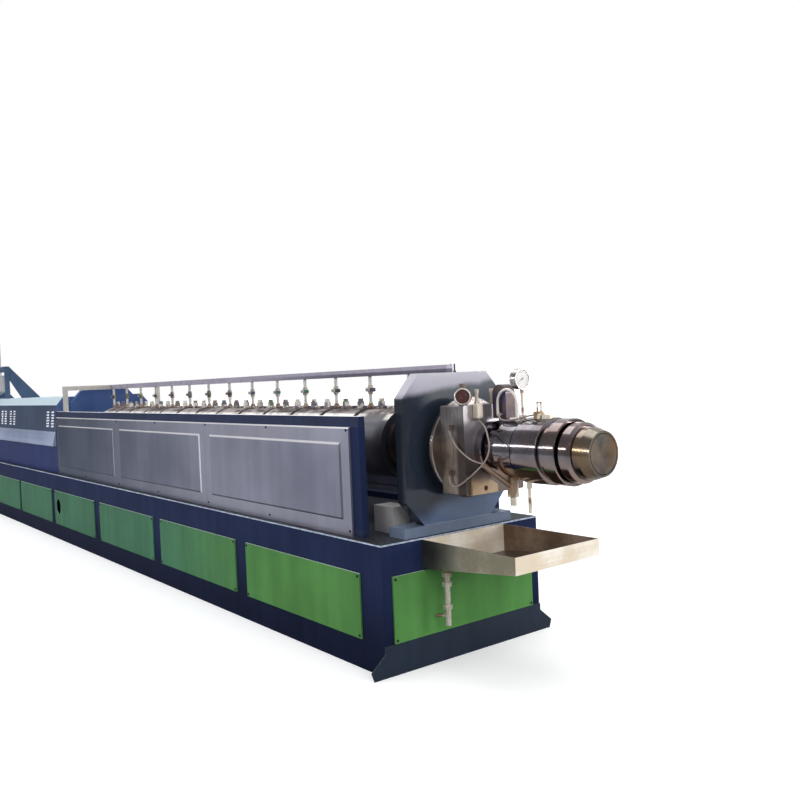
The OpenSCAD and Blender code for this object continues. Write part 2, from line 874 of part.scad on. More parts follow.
module die_front_section() {
    neck = die_d_r - groove_d;
    color(dark) revolved(die_d_x, [[0, 0], [neck, 0], [neck, groove_w], [die_d_r, groove_w],
        [die_d_r, die_d_l - groove_d], [neck, die_d_l], [0, die_d_l]]);
}

module die_lip() {
    step = 20;
    wall = 10;
    outer = die_d_r - step;
    color(steel) revolved(lip_x, [[lip_r, 0], [outer, 0], [outer, lip_l*0.45],
        [lip_r + wall, lip_l], [lip_r, lip_l]]);
}

module die_mandrel() {
    tip = lip_r - lip_gap;
    color(steel) revolved(lip_x, [[0, 0], [tip*0.62, 0], [tip, lip_l*0.75], [tip, lip_l],
        [0, lip_l]]);
}

// Fittings on the screen changer

changer_front = changer_x + changer_l;
housing_s = 36;
housing_y = -120;
housing_z = changer_top + 4;
clip_s = 24;
near_face = -changer_w/2;

module coupling() {
    rim = coupling_r*0.22;
    base = coupling_r*0.9;
    translate([changer_x + changer_l*0.69, near_face*0.75, changer_top]) rotate([0, 0, -45]) {
        translate([-coupling_d/2, 0, coupling_r]) rotate([0, 90, 0]) rotate_extrude($fn = 48)
            polygon([[0, 0], [coupling_r - rim, 0], [coupling_r, rim],
                [coupling_r, coupling_d], [coupling_r - rim, coupling_d],
                [coupling_r - rim, coupling_d*0.7], [rim*1.6, coupling_d*0.7],
                [rim*1.6, coupling_d*0.9], [0, coupling_d*0.9]]);
        translate([-base/2, -base/2, 0]) cube([base, base, coupling_r]);
        translate([0, 0, 2*coupling_r - rim]) cylinder(r = rim*1.6, h = rim*3, $fn = 24);
    }
}

module sensor(x, y) {
    translate([x, y, changer_top]) {
        cylinder(r = sensor_r*1.5, h = sensor_h*0.22, $fn = 6);
        cylinder(r = sensor_r, h = sensor_h*0.8, $fn = 24);
        translate([0, 0, sensor_h*0.75]) cylinder(r = sensor_r*1.3, h = sensor_h*0.25, $fn = 24);
    }
}

module lug() {
    low = axis_z - changer_h/2 + 3;
    left = near_face + 30;
    translate([changer_front, 0, 0]) difference() {
        along_x(0, lug_t) polygon([[left, low], [left + lug_w, low],
            [left + lug_w, low + lug_h*0.35], [left + lug_w*0.3, low + lug_h],
            [left, low + lug_h]]);
        translate([-1, left + lug_w*0.52, low + lug_h*0.25]) rotate([0, 90, 0])
            cylinder(r = lug_hole_r, h = lug_t + 2, $fn = 40);
    }
}

module clip(at) {
    translate([changer_front + at[0] - clip_s/2, near_face - clip_s, axis_z + at[1]])
        cube([clip_s, clip_s, clip_s]);
}

module changer_fittings() {
    color(brown) {
        coupling();
        sensor(changer_x + changer_l*0.62, -45);
        sensor(changer_x + changer_l*0.84, 22);
        lug();
        translate([changer_front, housing_y - housing_s/2, housing_z - housing_h])
            cube([housing_s, housing_s, housing_h]);
        clip(loop_clip);
        clip(side_clip);
    }
}

// Injection valve on the neck, with the bent tube that leads from it to the die

valve_mid = neck_x + inject_x;
tube_x = die_a_x + tube_in;

module injection_valve() {
    top_r = inject_w/2;
    arch = axis_z + inject_up - top_r;
    low = axis_z + inject_low;
    bend_z = arch - tube_drop;
    leg_l = 55;
    leg_z = bend_z - leg_l;
    color(brown) difference() {
        union() {
            translate([valve_mid, inject_d/2, 0]) rotate([90, 0, 0]) linear_extrude(inject_d) {
                translate([-top_r, low]) square([inject_w, arch - low]);
                translate([0, arch]) circle(r = top_r, $fn = 64);
            }
            translate([valve_mid, 0, axis_z]) cylinder(r = inject_stem_r, h = inject_low + 1,
                $fn = 40);
            translate([tube_x - tube_bend, -tube_y, bend_z]) rotate([90, 0, 0])
                rotate_extrude(angle = 180, $fn = 64) translate([tube_bend, 0])
                    circle(r = tube_r, $fn = 24);
            translate([tube_x - 2*tube_bend, -tube_y, leg_z]) {
                cylinder(r = tube_r, h = leg_l, $fn = 24);
                rotate([-90, 0, 0])
                    cylinder(r = tube_r*1.6, h = tube_y - inject_d/2 + 5, $fn = 24);
            }
            translate([tube_x, -tube_y, axis_z]) {
                cylinder(r = tube_r, h = bend_z - axis_z, $fn = 24);
                cylinder(r = tube_r*1.7, h = die_a_r + 10, $fn = 6);
            }
        }
        place_on_axis(neck_x) cylinder(r = neck_thin_r + fit, h = neck_l, $fn = 128);
        place_on_axis(die_a_x) cylinder(r = die_a_r + fit, h = die_a_l, $fn = 128);
    }
}

// Terminals on top of the die and the fittings under it

module on_die(x, y, from, to, r, sides) {
    translate([x, y, axis_z + from]) cylinder(r = r, h = to - from, $fn = sides);
}

module die_cut() {
    place_on_axis(die_a_x) cylinder(r = die_a_r + fit, h = die_a_l, $fn = 128);
    place_on_axis(die_b_x) cylinder(r = die_b_r + fit, h = die_b_l + step_l, $fn = 128);
}

module tilted_tube(from, to, r) {
    d = to - from;
    translate(from) rotate([0, acos(d[2]/norm(d)), atan2(d[1], d[0])])
        cylinder(r = r, h = norm(d), $fn = 32);
}

block_x = die_b_x + 48;
block_top = die_b_r + terminal_h;
tee_x = die_a_x + 32;
tee_y = -50;
tee_low = -die_a_r - tee_l;

module top_terminals() {
    strap_t = 5;
    post_in = terminal_w/5;
    strap_z = axis_z + block_top + strap_up - strap_t;
    translate([block_x, -terminal_w, axis_z]) cube([terminal_w, terminal_w, block_top]);
    for (x = [post_in, terminal_w - post_in])
        on_die(block_x + x, -terminal_w/2, die_b_r, block_top + strap_up, strap_t*0.8, 20);
    translate([block_x + post_in/2, -terminal_w/2 - strap_t, strap_z])
        cube([terminal_w - post_in, 2*strap_t, strap_t]);
    translate([block_x + terminal_w*1.3, -terminal_w, axis_z])
        cube([terminal_w*1.3, terminal_w*0.75, die_b_r + terminal_h/2]);
}

module feed_coupling() {
    on_die(tee_x, tee_y, tee_low, 0, tee_r, 6);
    on_die(tee_x, tee_y, tee_low - nozzle_l, tee_low + 1, tee_r*0.54, 32);
    tilted_tube([changer_front, 0, axis_z] + feed_end,
        [tee_x, tee_y, axis_z + tee_low + nozzle_l], feed_tube_r);
}

module riser() {
    on_die(die_b_x + 15, tee_y, -die_b_r - riser_l, 0, riser_r, 24);
    on_die(die_b_x + 15, tee_y, -die_b_r - riser_r*2.5, 0, riser_r*1.6, 6);
}

module die_fittings() {
    color(brown) difference() {
        top_terminals();
        die_cut();
    }
    color(bright) difference() {
        union() {
            feed_coupling();
            riser();
        }
        die_cut();
    }
}

// Cables on the head: each is a smooth tube through a few points. The tube's rings are
// turned by a direction that the cable never takes

module cable(points, across) {
    sides = 8;
    steps = 3;
    n = len(points);
    function at(i) = i < 0 ? 2*points[0] - points[1]
        : i >= n ? 2*points[n - 1] - points[n - 2] : points[i];
    function spline(a, b, c, d, t) = 0.5*(2*b + (c - a)*t + (2*a - 5*b + 4*c - d)*t*t
        + (3*b - a - 3*c + d)*t*t*t);
    way = concat([for (i = [0:n - 2], k = [0:steps - 1])
        spline(at(i - 1), at(i), at(i + 1), at(i + 2), k/steps)], [points[n - 1]]);
    m = len(way);
    rings = [for (i = [0:m - 1])
        let (d = way[min(i + 1, m - 1)] - way[max(i - 1, 0)],
            u = cross(d, across)/norm(cross(d, across)),
            v = cross(d, u)/norm(d))
        for (k = [0:sides - 1]) way[i] + cable_r*(cos(k*360/sides)*u + sin(k*360/sides)*v)];
    polyhedron(rings, concat(
        [[for (k = [0:sides - 1]) k]],
        [for (i = [0:m - 2], k = [0:sides - 1])
            [i*sides + k, (i + 1)*sides + k, (i + 1)*sides + (k + 1)%sides,
                i*sides + (k + 1)%sides]],
        [[for (k = [sides - 1:-1:0]) (m - 1)*sides + k]]), convexity = 10);
}

module head_cables() {
    color(bright) translate([changer_front, 0, axis_z]) {
        cable(loop_way, [0, 1, 0]);
        cable(side_way, [0, 1, 0]);
        cable(valve_way, [0, 0, 1]);
    }
}

// Gauge on the die

gauge_x = die_a_x + die_a_l*0.6;

module pressure_gauge() {
    face_in = 4;
    color(bright) translate([gauge_x - gauge_d*0.85, 0, axis_z + gauge_up]) rotate([0, 90, 0])
        rotate_extrude($fn = 64) polygon([[0, 0], [gauge_r - 6, 0], [gauge_r, 6],
            [gauge_r, gauge_d], [gauge_r - 5, gauge_d], [gauge_r - 5, gauge_d - face_in],
            [0, gauge_d - face_in]]);
}

module gauge_stem() {
    low = axis_z + die_a_r + fit;
    high = axis_z + gauge_up - gauge_r - fit;
    color(bright) translate([gauge_x, 0, 0]) {
        translate([0, 0, low]) cylinder(r = stem_r*0.7, h = high - low, $fn = 24);
        translate([0, 0, low]) cylinder(r = stem_r*2, h = 16, $fn = 6);
        translate([0, 0, high - 26]) cylinder(r = stem_r, h = 26, $fn = 6);
    }
}

// Hood over the drive

hood_y = half_w - hood_in;
eave_y = hood_y - eave_in;
roof_y = eave_y - slope_in;

module hood_outline(inset) {
    polygon([[-hood_y + inset, apron_high], [-eave_y + inset, eave_z],
        [-roof_y + inset*0.6, roof_z - inset], [roof_y - inset*0.6, roof_z - inset],
        [eave_y - inset, eave_z], [hood_y - inset, apron_high]]);
}

module along_x(x, l) {
    translate([x, 0, 0]) rotate([90, 0, 90]) linear_extrude(l) children();
}

module hood_lower_panels() {
    color(navy) for (i = [0:hood_segments - 1]) both_sides()
        translate([-hood_x - hood_t - (i + 1)*segment_l, -hood_y, base_h])
            cube([segment_l - seam, hood_t, apron_high - base_h]);
}

module hood_aprons() {
    color(steel) for (i = [0:hood_segments - 1]) both_sides()
        along_x(-hood_x - hood_t - (i + 1)*segment_l, segment_l - seam) polygon([
            [-hood_y, apron_low], [-hood_y - apron_out, apron_low],
            [-hood_y - apron_out, apron_low + hood_t*2], [-hood_y - hood_t/2, apron_high],
            [-hood_y, apron_high]]);
}

module vent_group(x) {
    low = apron_high + (eave_z - apron_high - vent_rows*vent_pitch)/2;
    for (c = [0, 1], r = [0:vent_rows - 1])
        translate([x + c*vent_l*1.9, -hood_y - 1, low + r*vent_pitch])
            cube([vent_l, eave_in + hood_t*2, vent_h]);
}

module hood_covers() {
    group = vent_l*2.9;
    color(steel) for (i = [0:hood_segments - 1])
        translate([-hood_x - hood_t - (i + 1)*segment_l, 0, 0]) difference() {
            along_x(0, segment_l - seam) difference() {
                hood_outline(0);
                hood_outline(hood_t);
            }
            both_sides() {
                vent_group(vent_in);
                vent_group(segment_l - vent_in - group);
            }
        }
}

module hood_end(x, bored) {
    translate([x, 0, 0]) difference() {
        along_x(0, hood_t) union() {
            translate([-hood_y, base_h]) square([2*hood_y, apron_high - base_h]);
            hood_outline(0);
        }
        if (bored)
            translate([-1, 0, axis_z]) rotate([0, 90, 0])
                cylinder(r = barrel_r + fit, h = hood_t + 2, $fn = 96);
    }
}

module hood_end_plates() {
    color(navy) {
        hood_end(-hood_x - hood_t, true);
        hood_end(-base_l, false);
    }
}

// Feed stand and hopper

stand_y = roof_y - stand_in;
stand_top = roof_z + stand_h;
stand_back = base_l - stand_rear - stand_l;

module stand_frame(x) {
    inner = stand_s/2 - stand_y;
    low = stand_top - stand_beam;
    translate([x - stand_s, -stand_y - stand_s/2, roof_z])
        cube([stand_s, stand_s, stand_h - stand_beam]);
    along_x(x - (stand_s + brace_t)/2, brace_t) polygon([
        [inner, stand_top - brace_h], [inner, stand_top],
        [brace_foot, roof_z], [brace_foot - brace_w, roof_z]]);
}

module feed_stand() {
    color(navy) {
        stand_frame(-stand_back);
        stand_frame(-stand_back - stand_l + stand_s);
        translate([-stand_back - stand_l, -stand_y - stand_s/2, stand_top - stand_beam])
            cube([stand_l, stand_s, stand_beam]);
    }
}

hopper_x = -stand_back - hopper_back;
hopper_y = stand_y - hopper_in;
hopper_top = stand_top - hopper_drop;

module feed_hopper() {
    cone_low = roof_z + hopper_rim*2.5;
    cone_high = hopper_top - hopper_h;
    lap = hopper_t*1.2;
    foot_r = outlet_r + hopper_rim*2.2;
    foot_top = roof_z + hopper_rim/2;
    rim_r = hopper_r + hopper_rim;
    color(bright) translate([hopper_x, -hopper_y, 0]) rotate_extrude($fn = 96) polygon([
        [outlet_r, roof_z], [foot_r, roof_z], [foot_r, foot_top],
        [outlet_r + hopper_t, foot_top], [outlet_r + hopper_t, cone_low],
        [hopper_r, cone_high], [hopper_r, hopper_top - hopper_rim],
        [rim_r, hopper_top - hopper_rim], [rim_r, hopper_top], [hopper_r - hopper_t, hopper_top],
        [hopper_r - hopper_t, cone_high + lap], [outlet_r, cone_low + lap]]);
}

module loader_pipe() {
    span = hopper_r*0.62;
    lid_t = 4;
    lid_top = hopper_top + lid_t;
    top = stand_top + loader_h;
    color(bright) translate([hopper_x, -hopper_y, 0]) {
        translate([0, 0, hopper_top])
            cylinder(r = hopper_r + hopper_rim, h = lid_t, $fn = 96);
        for (y = [-span, span]) translate([0, y, lid_top])
            cylinder(r = loader_r, h = top - lid_top, $fn = 24);
        translate([0, span + loader_r, top - loader_r]) rotate([90, 0, 0])
            cylinder(r = loader_r, h = 2*(span + loader_r), $fn = 24);
    }
}

side_top_rails();
side_bottom_rails();
side_posts();
end_rails();
cross_beams();
deck_plates();
end_skirts();
near_side_panels();
far_side_panels();
end_panels();
drip_tray();
tray_drain();
yoke_beams();
front_yoke();
rear_yoke();
deck_box();
barrel();
heater_jackets();
cooling_collars();
terminal_caps();
guard_rails();
guard_posts();
near_guard_panels();
far_guard_panels();
water_header();
header_portal();
drop_pipes();
ball_valves();
clamp_ring();
screen_changer();
adapter_neck();
die_rear_section();
die_middle_section();
die_clamp_ring();
die_front_section();
die_lip();
die_mandrel();
pressure_gauge();
gauge_stem();
hood_lower_panels();
hood_aprons();
hood_covers();
hood_end_plates();
feed_stand();
feed_hopper();
loader_pipe();
changer_fittings();
injection_valve();
die_fittings();
head_cables();
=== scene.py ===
import bpy
import math
from mathutils import Matrix, Vector


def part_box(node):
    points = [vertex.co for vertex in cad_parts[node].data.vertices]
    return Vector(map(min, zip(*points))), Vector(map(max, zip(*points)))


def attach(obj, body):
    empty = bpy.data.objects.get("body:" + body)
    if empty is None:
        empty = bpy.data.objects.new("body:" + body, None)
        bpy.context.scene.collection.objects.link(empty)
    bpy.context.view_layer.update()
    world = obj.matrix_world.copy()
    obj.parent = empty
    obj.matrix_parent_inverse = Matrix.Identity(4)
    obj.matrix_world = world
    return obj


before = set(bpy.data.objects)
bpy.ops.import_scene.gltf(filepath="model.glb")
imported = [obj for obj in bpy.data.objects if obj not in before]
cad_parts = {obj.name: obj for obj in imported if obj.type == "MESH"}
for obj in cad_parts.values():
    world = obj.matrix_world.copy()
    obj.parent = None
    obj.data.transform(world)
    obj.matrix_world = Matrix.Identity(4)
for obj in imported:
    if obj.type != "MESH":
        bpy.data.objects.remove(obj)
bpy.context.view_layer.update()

# The camera stands where the photo was taken, in metres, degrees and millimetres
CAMERA_AT = (3.259, -2.933, 1.456)
CAMERA_TURN = 52.05
CAMERA_DOWN = 1.42
CAMERA_ROLL = 2.42
LENS = 37.51
SENSOR = 36

# The white room: its light on the machine, and how dim its operator's side mirrors
WORLD_LIGHT = 0.62
ROOM_DIM = 0.32

# Both sides of the machine: word, sign across it, and the turn of a fitting that faces out
SIDES = (("near", -1, 0), ("far", 1, 180))
QUARTER = math.radians(90)

# Places of the main pieces, from the frame
AXIS_Z = sum(corner.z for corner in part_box("clamp_ring"))/2
YOKE_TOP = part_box("front_yoke")[1].z
HEADER_MID = sum(corner.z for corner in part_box("water_header"))/2
JACKET_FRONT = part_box("heater_jackets")[1].x
JACKET_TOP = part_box("heater_jackets")[1].z
CHANGER_LOW, CHANGER_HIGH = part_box("screen_changer")

# Green access panels
PANEL_LOW, PANEL_HIGH = (corner.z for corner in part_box("near_side_panels"))
PANEL_SIDE = -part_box("near_side_panels")[0].y

# Guard panels, each with a raised field inside its rim
GUARD_PANELS = 3
GUARD_GAP = 0.002
EMBOSS = 0.004
FIELD_IN = 0.082
GUARD_BACK, GUARD_FRONT = (corner.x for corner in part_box("near_guard_panels"))
GUARD_LOW, GUARD_HIGH = (corner.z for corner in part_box("near_guard_panels"))
GUARD_SIDE = -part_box("near_guard_panels")[0].y - EMBOSS
GUARD_PITCH = (GUARD_FRONT - GUARD_BACK + GUARD_GAP)/GUARD_PANELS
FIELD_LOW = GUARD_LOW + FIELD_IN
FIELD_TOP = GUARD_HIGH - FIELD_IN

# The barrel's heated zones, with a collar, a drop pipe and its valve at each end
ZONES = 13
ZONE_PITCH = 0.371
FIRST_PIPE = -0.414
PIPES_X = [FIRST_PIPE - i*ZONE_PITCH for i in range(ZONES + 1)]
JACKETS_X = [FIRST_PIPE - (i + 0.5)*ZONE_PITCH for i in range(ZONES)]
COLLAR_RADIUS = 0.165
VALVE_Z = AXIS_Z + 0.310

# The pressure gauge's case, with the bed that its dial lies on
GAUGE_LOW, GAUGE_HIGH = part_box("pressure_gauge")
GAUGE_FRONT = GAUGE_HIGH.x
GAUGE_RADIUS = (GAUGE_HIGH.y - GAUGE_LOW.y)/2
GAUGE_Z = (GAUGE_LOW.z + GAUGE_HIGH.z)/2
DIAL_BED = GAUGE_FRONT - 0.004

# A vent slot of the hood
SLOT_LENGTH = 0.088
SLOT_HEIGHT = 0.013

# Places across the head that divide a tube from the body it belongs to
INJECTION_TUBE_SIDE = -0.037
FEED_TUBE_SIDE = -0.085

YOKE_NAVY = (0.024, 0.033, 0.050)


class Value:
    """A shader socket that takes part in sums with numbers and other sockets."""

    def __init__(self, maker, socket):
        self.maker = maker
        self.socket = socket

    def maths(self, operation, first, second):
        return self.maker.add("Math", {"operation": operation}, {0: first, 1: second})

    def __add__(self, other):
        return self.maths("ADD", self, other)

    __radd__ = __add__

    def __sub__(self, other):
        return self.maths("SUBTRACT", self, other)

    def __rsub__(self, other):
        return self.maths("SUBTRACT", other, self)

    def __mul__(self, other):
        return self.maths("MULTIPLY", self, other)

    __rmul__ = __mul__

    def __truediv__(self, other):
        return self.maths("DIVIDE", self, other)

    def __pow__(self, other):
        return self.maths("POWER", self, other)

    def __gt__(self, other):
        return self.maths("GREATER_THAN", self, other)

    def __lt__(self, other):
        return self.maths("LESS_THAN", self, other)


class Nodes:
    """A node tree that is built one node at a time."""

    def __init__(self, tree):
        self.tree = tree

    def feed(self, socket, value):
        """Links a value to a socket, or sets the socket's own number or colour."""
        if isinstance(value, Value):
            self.tree.links.new(value.socket, socket)
        elif socket.type == "RGBA":
            socket.default_value = (*value, 1)
        else:
            socket.default_value = value

    def add(self, kind, settings=None, inputs=None, output=0):
        """Adds a node, with its settings before its inputs, and gives one of its outputs."""
        made = self.tree.nodes.new("ShaderNode" + kind)
        for name, value in (settings or {}).items():
            setattr(made, name, value)
        for name, value in (inputs or {}).items():
            self.feed(made.inputs[name], value)
        return Value(self, made.outputs[output])

    def parts(self, vector):
        """The three parts of a vector."""
        split = self.add("SeparateXYZ", inputs={0: vector}).socket.node
        return [Value(self, part) for part in split.outputs]


class Paint(Nodes):
    """A material made node by node. Fixed numbers go on the shader's own sockets."""

    def __init__(self, name, **fixed):
        self.material = bpy.data.materials.new(name)
        self.material.use_nodes = True
        super().__init__(self.material.node_tree)
        self.shader = self.tree.nodes["Principled BSDF"]
        self.give(**fixed)

    def give(self, **values):
        """Feeds the shader's sockets, named with _ for a space, and gives the material."""
        for socket, value in values.items():
            self.feed(self.shader.inputs[socket.replace("_", " ")], value)
        return self.material

    def place(self):
        return self.add("TexCoord", output="Object")

    def axes(self):
        """Where a point is: along the machine, across it and up."""
        return self.parts(self.place())

    def facing(self):
        """Which way a face looks: along the machine, across it and up."""
        return self.parts(self.add("NewGeometry", output="Normal"))

    def noise(self, scale, detail=3.0, roughness=0.5, stretch=(1, 1, 1)):
        where = self.add("Mapping", inputs={"Vector": self.place(), "Scale": stretch})
        return self.add("TexNoise", inputs={
            "Vector": where, "Scale": scale, "Detail": detail, "Roughness": roughness})

    def band(self, value, none, full):
        """Goes softly from 0 to 1 while a value goes from none to full."""
        return self.add("MapRange", {"interpolation_type": "SMOOTHSTEP"}, {
            "Value": value, "From Min": none, "From Max": full})

    def between(self, value, low, high, soft):
        """1 where a value is between two limits, with edges this soft on either side."""
        rise = self.band(value, low - soft, low + soft)
        return rise*self.band(value, high + soft, high - soft)

    def mix(self, factor, first, second):
        """Blends two colours. The colour sockets are numbers 6, 7 and 2 of the node."""
        return self.add("Mix", {"data_type": "RGBA"}, {0: factor, 6: first, 7: second},
            output=2)

    def bump(self, height, strength, distance):
        out = self.add("Bump", inputs={
            "Height": height, "Strength": strength, "Distance": distance})
        self.give(Normal=out)


def shade(colour, share):
    """A colour made lighter or darker by a share."""
    return [part*share for part in colour]


# Finishes

def sprayed(paint, pattern, colour, share=1.0):
    """A paint colour that is a little deeper or lighter from spot to spot."""
    return paint.mix(pattern, shade(colour, 0.84*share), shade(colour, 1.18*share))


def yoke_painted_light(paint, body, streaks):
    """The front yoke's painted light and shade: a pale blue foot, a pale highlight on its
    sloping crown and dark upper sides.
    """
    painted_light_top, painted_light_full = 0.90, 0.78
    highlight_foot, highlight_full = 1.405, 1.445
    shade_top, shade_full = 1.36, 1.34
    _, across, up = paint.axes()
    # Painted light: the foot takes a pale blue, reaching a little lower on the operator's
    # side.
    sloped = up + paint.band(across, -0.05, -0.24)*0.10
    body = paint.mix(paint.band(sloped, painted_light_top, painted_light_full), body, (0.105, 0.145, 0.245))
    # Painted highlight: a pale crown above a slanting line.
    slanted = up - across*0.12 + streaks*0.04
    body = paint.mix(paint.band(slanted, highlight_foot, highlight_full), body, (0.33, 0.322, 0.385))
    # Painted shade on the upper parts of the faces that do not look forward.
    shaded_sides = paint.band(paint.facing()[0], 0.75, 0.35)
    return paint.mix(shaded_sides*paint.band(up, shade_top, shade_full), body,
        shade(YOKE_NAVY, 0.4))


def machine_paint(name, colour, roughness=0.42, gloss=0.10, low=1.0, edge_highlight_and_wear=0.0, lit=None,
        lit_above=-1.0, rear=None, reach=None, tones=None):
    """Sprayed machine paint: orange peel, faint streaks and a film of dust on top.

    low darkens the foot, as painted shade. The edge setting paints the edges bright, as a
    painted highlight broken by chips of wear. lit is a painted light colour for faces that
    look up, above a height. rear is the colour that the paint fades to over its reach along
    the machine, and tones adds what one piece has of its own, such as painted light and shade.
    """
    paint = Paint(name, Metallic=0.0, Specular_IOR_Level=gloss)
    along, _, up = paint.axes()
    face_up = paint.facing()[2]
    patches = paint.noise(1.7, detail=5, roughness=0.6)
    streaks = paint.noise(9.0, detail=4, stretch=(1, 1, 0.09))
    fine = paint.noise(60, detail=3)
    pattern = paint.band(patches*0.6 + streaks*0.4, 0.36, 0.68)
    body = sprayed(paint, pattern, colour)
    if rear:
        body = paint.mix(paint.band(along, *reach), body, sprayed(paint, pattern, rear))
    if tones:
        body = tones(paint, body, streaks)
    # Painted shade: the foot is darker, fading out by half a metre up.
    if low < 1:
        shaded_foot = sprayed(paint, pattern, colour, low)
        body = paint.mix(paint.band(up, 0.08, 0.50), shaded_foot, body)
    top = paint.band(face_up, 0.55, 0.98)
    dust = top*paint.band(patches*0.5 + fine*0.5, 0.34, 0.62)*0.22
    out = paint.mix(dust, body, (0.24, 0.25, 0.28))
    # Painted light on faces that look up, above lit_above.
    if lit:
        out = paint.mix(paint.band(face_up, 0.35, 0.8)*(up > lit_above), out, lit)
    if edge_highlight_and_wear:
        # Painted highlight on the edges, broken by chips of wear.
        chips = paint.band(paint.noise(26, detail=5, roughness=0.7), 0.40, 0.60)
        highlit_edge = paint.band(face_up, 0.6, 0.3)*(chips*0.4 + 0.6)*edge_highlight_and_wear
        out = paint.mix(highlit_edge, out, (0.52, 0.60, 0.74))
    paint.bump(paint.noise(420, detail=2)*0.5 + fine*0.5, 0.10, 0.0006)
    return paint.give(Base_Color=out, Roughness=roughness + patches*0.12 + dust*0.3)


def sheet_steel(name, light, deep, roughness=0.30, grain=(260, 260, 3.0), metal=0.85,
        lit=None):
    """Brushed stainless sheet with cloudy tones and a fine grain along one direction. lit,
    where given, is a pale colour painted on faces that look up, as a painted reflection.
    """
    paint = Paint(name, Specular_IOR_Level=0.15, Metallic=metal)
    clouds = paint.noise(1.3, detail=3, roughness=0.45)
    wipes = paint.noise(1.0, detail=4, stretch=[part*0.05 for part in grain])
    lines = paint.noise(1.0, detail=2, stretch=grain)
    tone = paint.band(clouds*0.55 + wipes*0.30 + lines*0.15, 0.36, 0.64)
    colour = paint.mix(tone, deep, light)
    # Painted reflection on faces that look up.
    if lit:
        colour = paint.mix(paint.band(paint.facing()[2], 0.25, 0.6), colour, lit)
    paint.bump(lines, 0.12, 0.0004)
    return paint.give(Base_Color=colour, Roughness=roughness + lines*0.14 + wipes*0.06)


def guard_steel(name):
    """Brushed guard sheets, with painted highlights and painted shade on the folds of their
    raised fields.
    """
    paint = Paint(name, Specular_IOR_Level=0.15, Metallic=0.85)
    along, _, up = paint.axes()
    clouds = paint.noise(1.5, detail=4, roughness=0.5)
    wipes = paint.noise(1.0, detail=4, stretch=(9, 9, 0.25))
    lines = paint.noise(1.0, detail=2, stretch=(260, 260, 3))
    tone = paint.band(clouds*0.60 + wipes*0.25 + lines*0.15, 0.34, 0.66)
    # Painted shade: the guard is painted darker towards the rear, and nearness fades the
    # painted light on its rims and folds the same way.
    near = paint.mix(tone, (0.205, 0.212, 0.285), (0.335, 0.345, 0.44))
    far = paint.mix(tone, (0.045, 0.064, 0.115), (0.090, 0.115, 0.18))
    colour = paint.mix(paint.band(along, -1.2, -5.3), near, far)
    nearness = paint.band(along, -5.0, -1.0)
    # Back is the distance behind the guard's front edge, and local that behind the
    # front edge of a point's own panel
    back = GUARD_FRONT - along
    panel = paint.add("Math", {"operation": "FLOOR"}, {0: back/GUARD_PITCH})
    local = back - panel*GUARD_PITCH
    wide = paint.between(local, FIELD_IN, GUARD_PITCH - FIELD_IN, 0.004)
    tall = paint.between(up, FIELD_LOW, FIELD_TOP, 0.002)
    rim = 1 - wide*tall
    # The rim round each field is painted lighter, as a painted sheen, most on the nearer
    # panels.
    colour = paint.mix(rim*(nearness*0.30 + 0.05), colour, (0.46, 0.45, 0.53))
    # Painted highlight along the top fold of each field.
    fold_highlight = wide*paint.band(up, FIELD_TOP - 0.013, FIELD_TOP - 0.009)
    fold_highlight = fold_highlight*paint.band(up, FIELD_TOP + 0.003, FIELD_TOP)
    colour = paint.mix(fold_highlight*(nearness*0.5 + 0.4), colour, (0.86, 0.85, 0.88))
    # Painted shade along the foot fold of each field.
    crease_shade = wide*paint.band(up, FIELD_LOW + 0.012, FIELD_LOW + 0.007)
    crease_shade = crease_shade*(up > FIELD_LOW - 0.001)
    colour = paint.mix(crease_shade*nearness*0.7, colour, (0.07, 0.065, 0.08))
    # The upright fold is painted dark, as painted shade, on the first panel and painted
    # bright, as a painted highlight, on those behind it
    upright_fold_light = tall*paint.between(local, FIELD_IN - 0.008, FIELD_IN + 0.008, 0.002)
    first = back < GUARD_PITCH
    colour = paint.mix(upright_fold_light*first*0.6, colour, (0.08, 0.075, 0.09))
    colour = paint.mix(upright_fold_light*(1 - first)*(nearness*1.1 + 0.1), colour,
        (0.72, 0.71, 0.78))
    # Faces that look up are painted bright, as painted light.
    colour = paint.mix(paint.band(paint.facing()[2], 0.25, 0.6), colour, (0.85, 0.85, 0.88))
    paint.bump(lines, 0.12, 0.0004)
    return paint.give(Base_Color=colour, Roughness=0.30 + lines*0.12 + clouds*0.10)


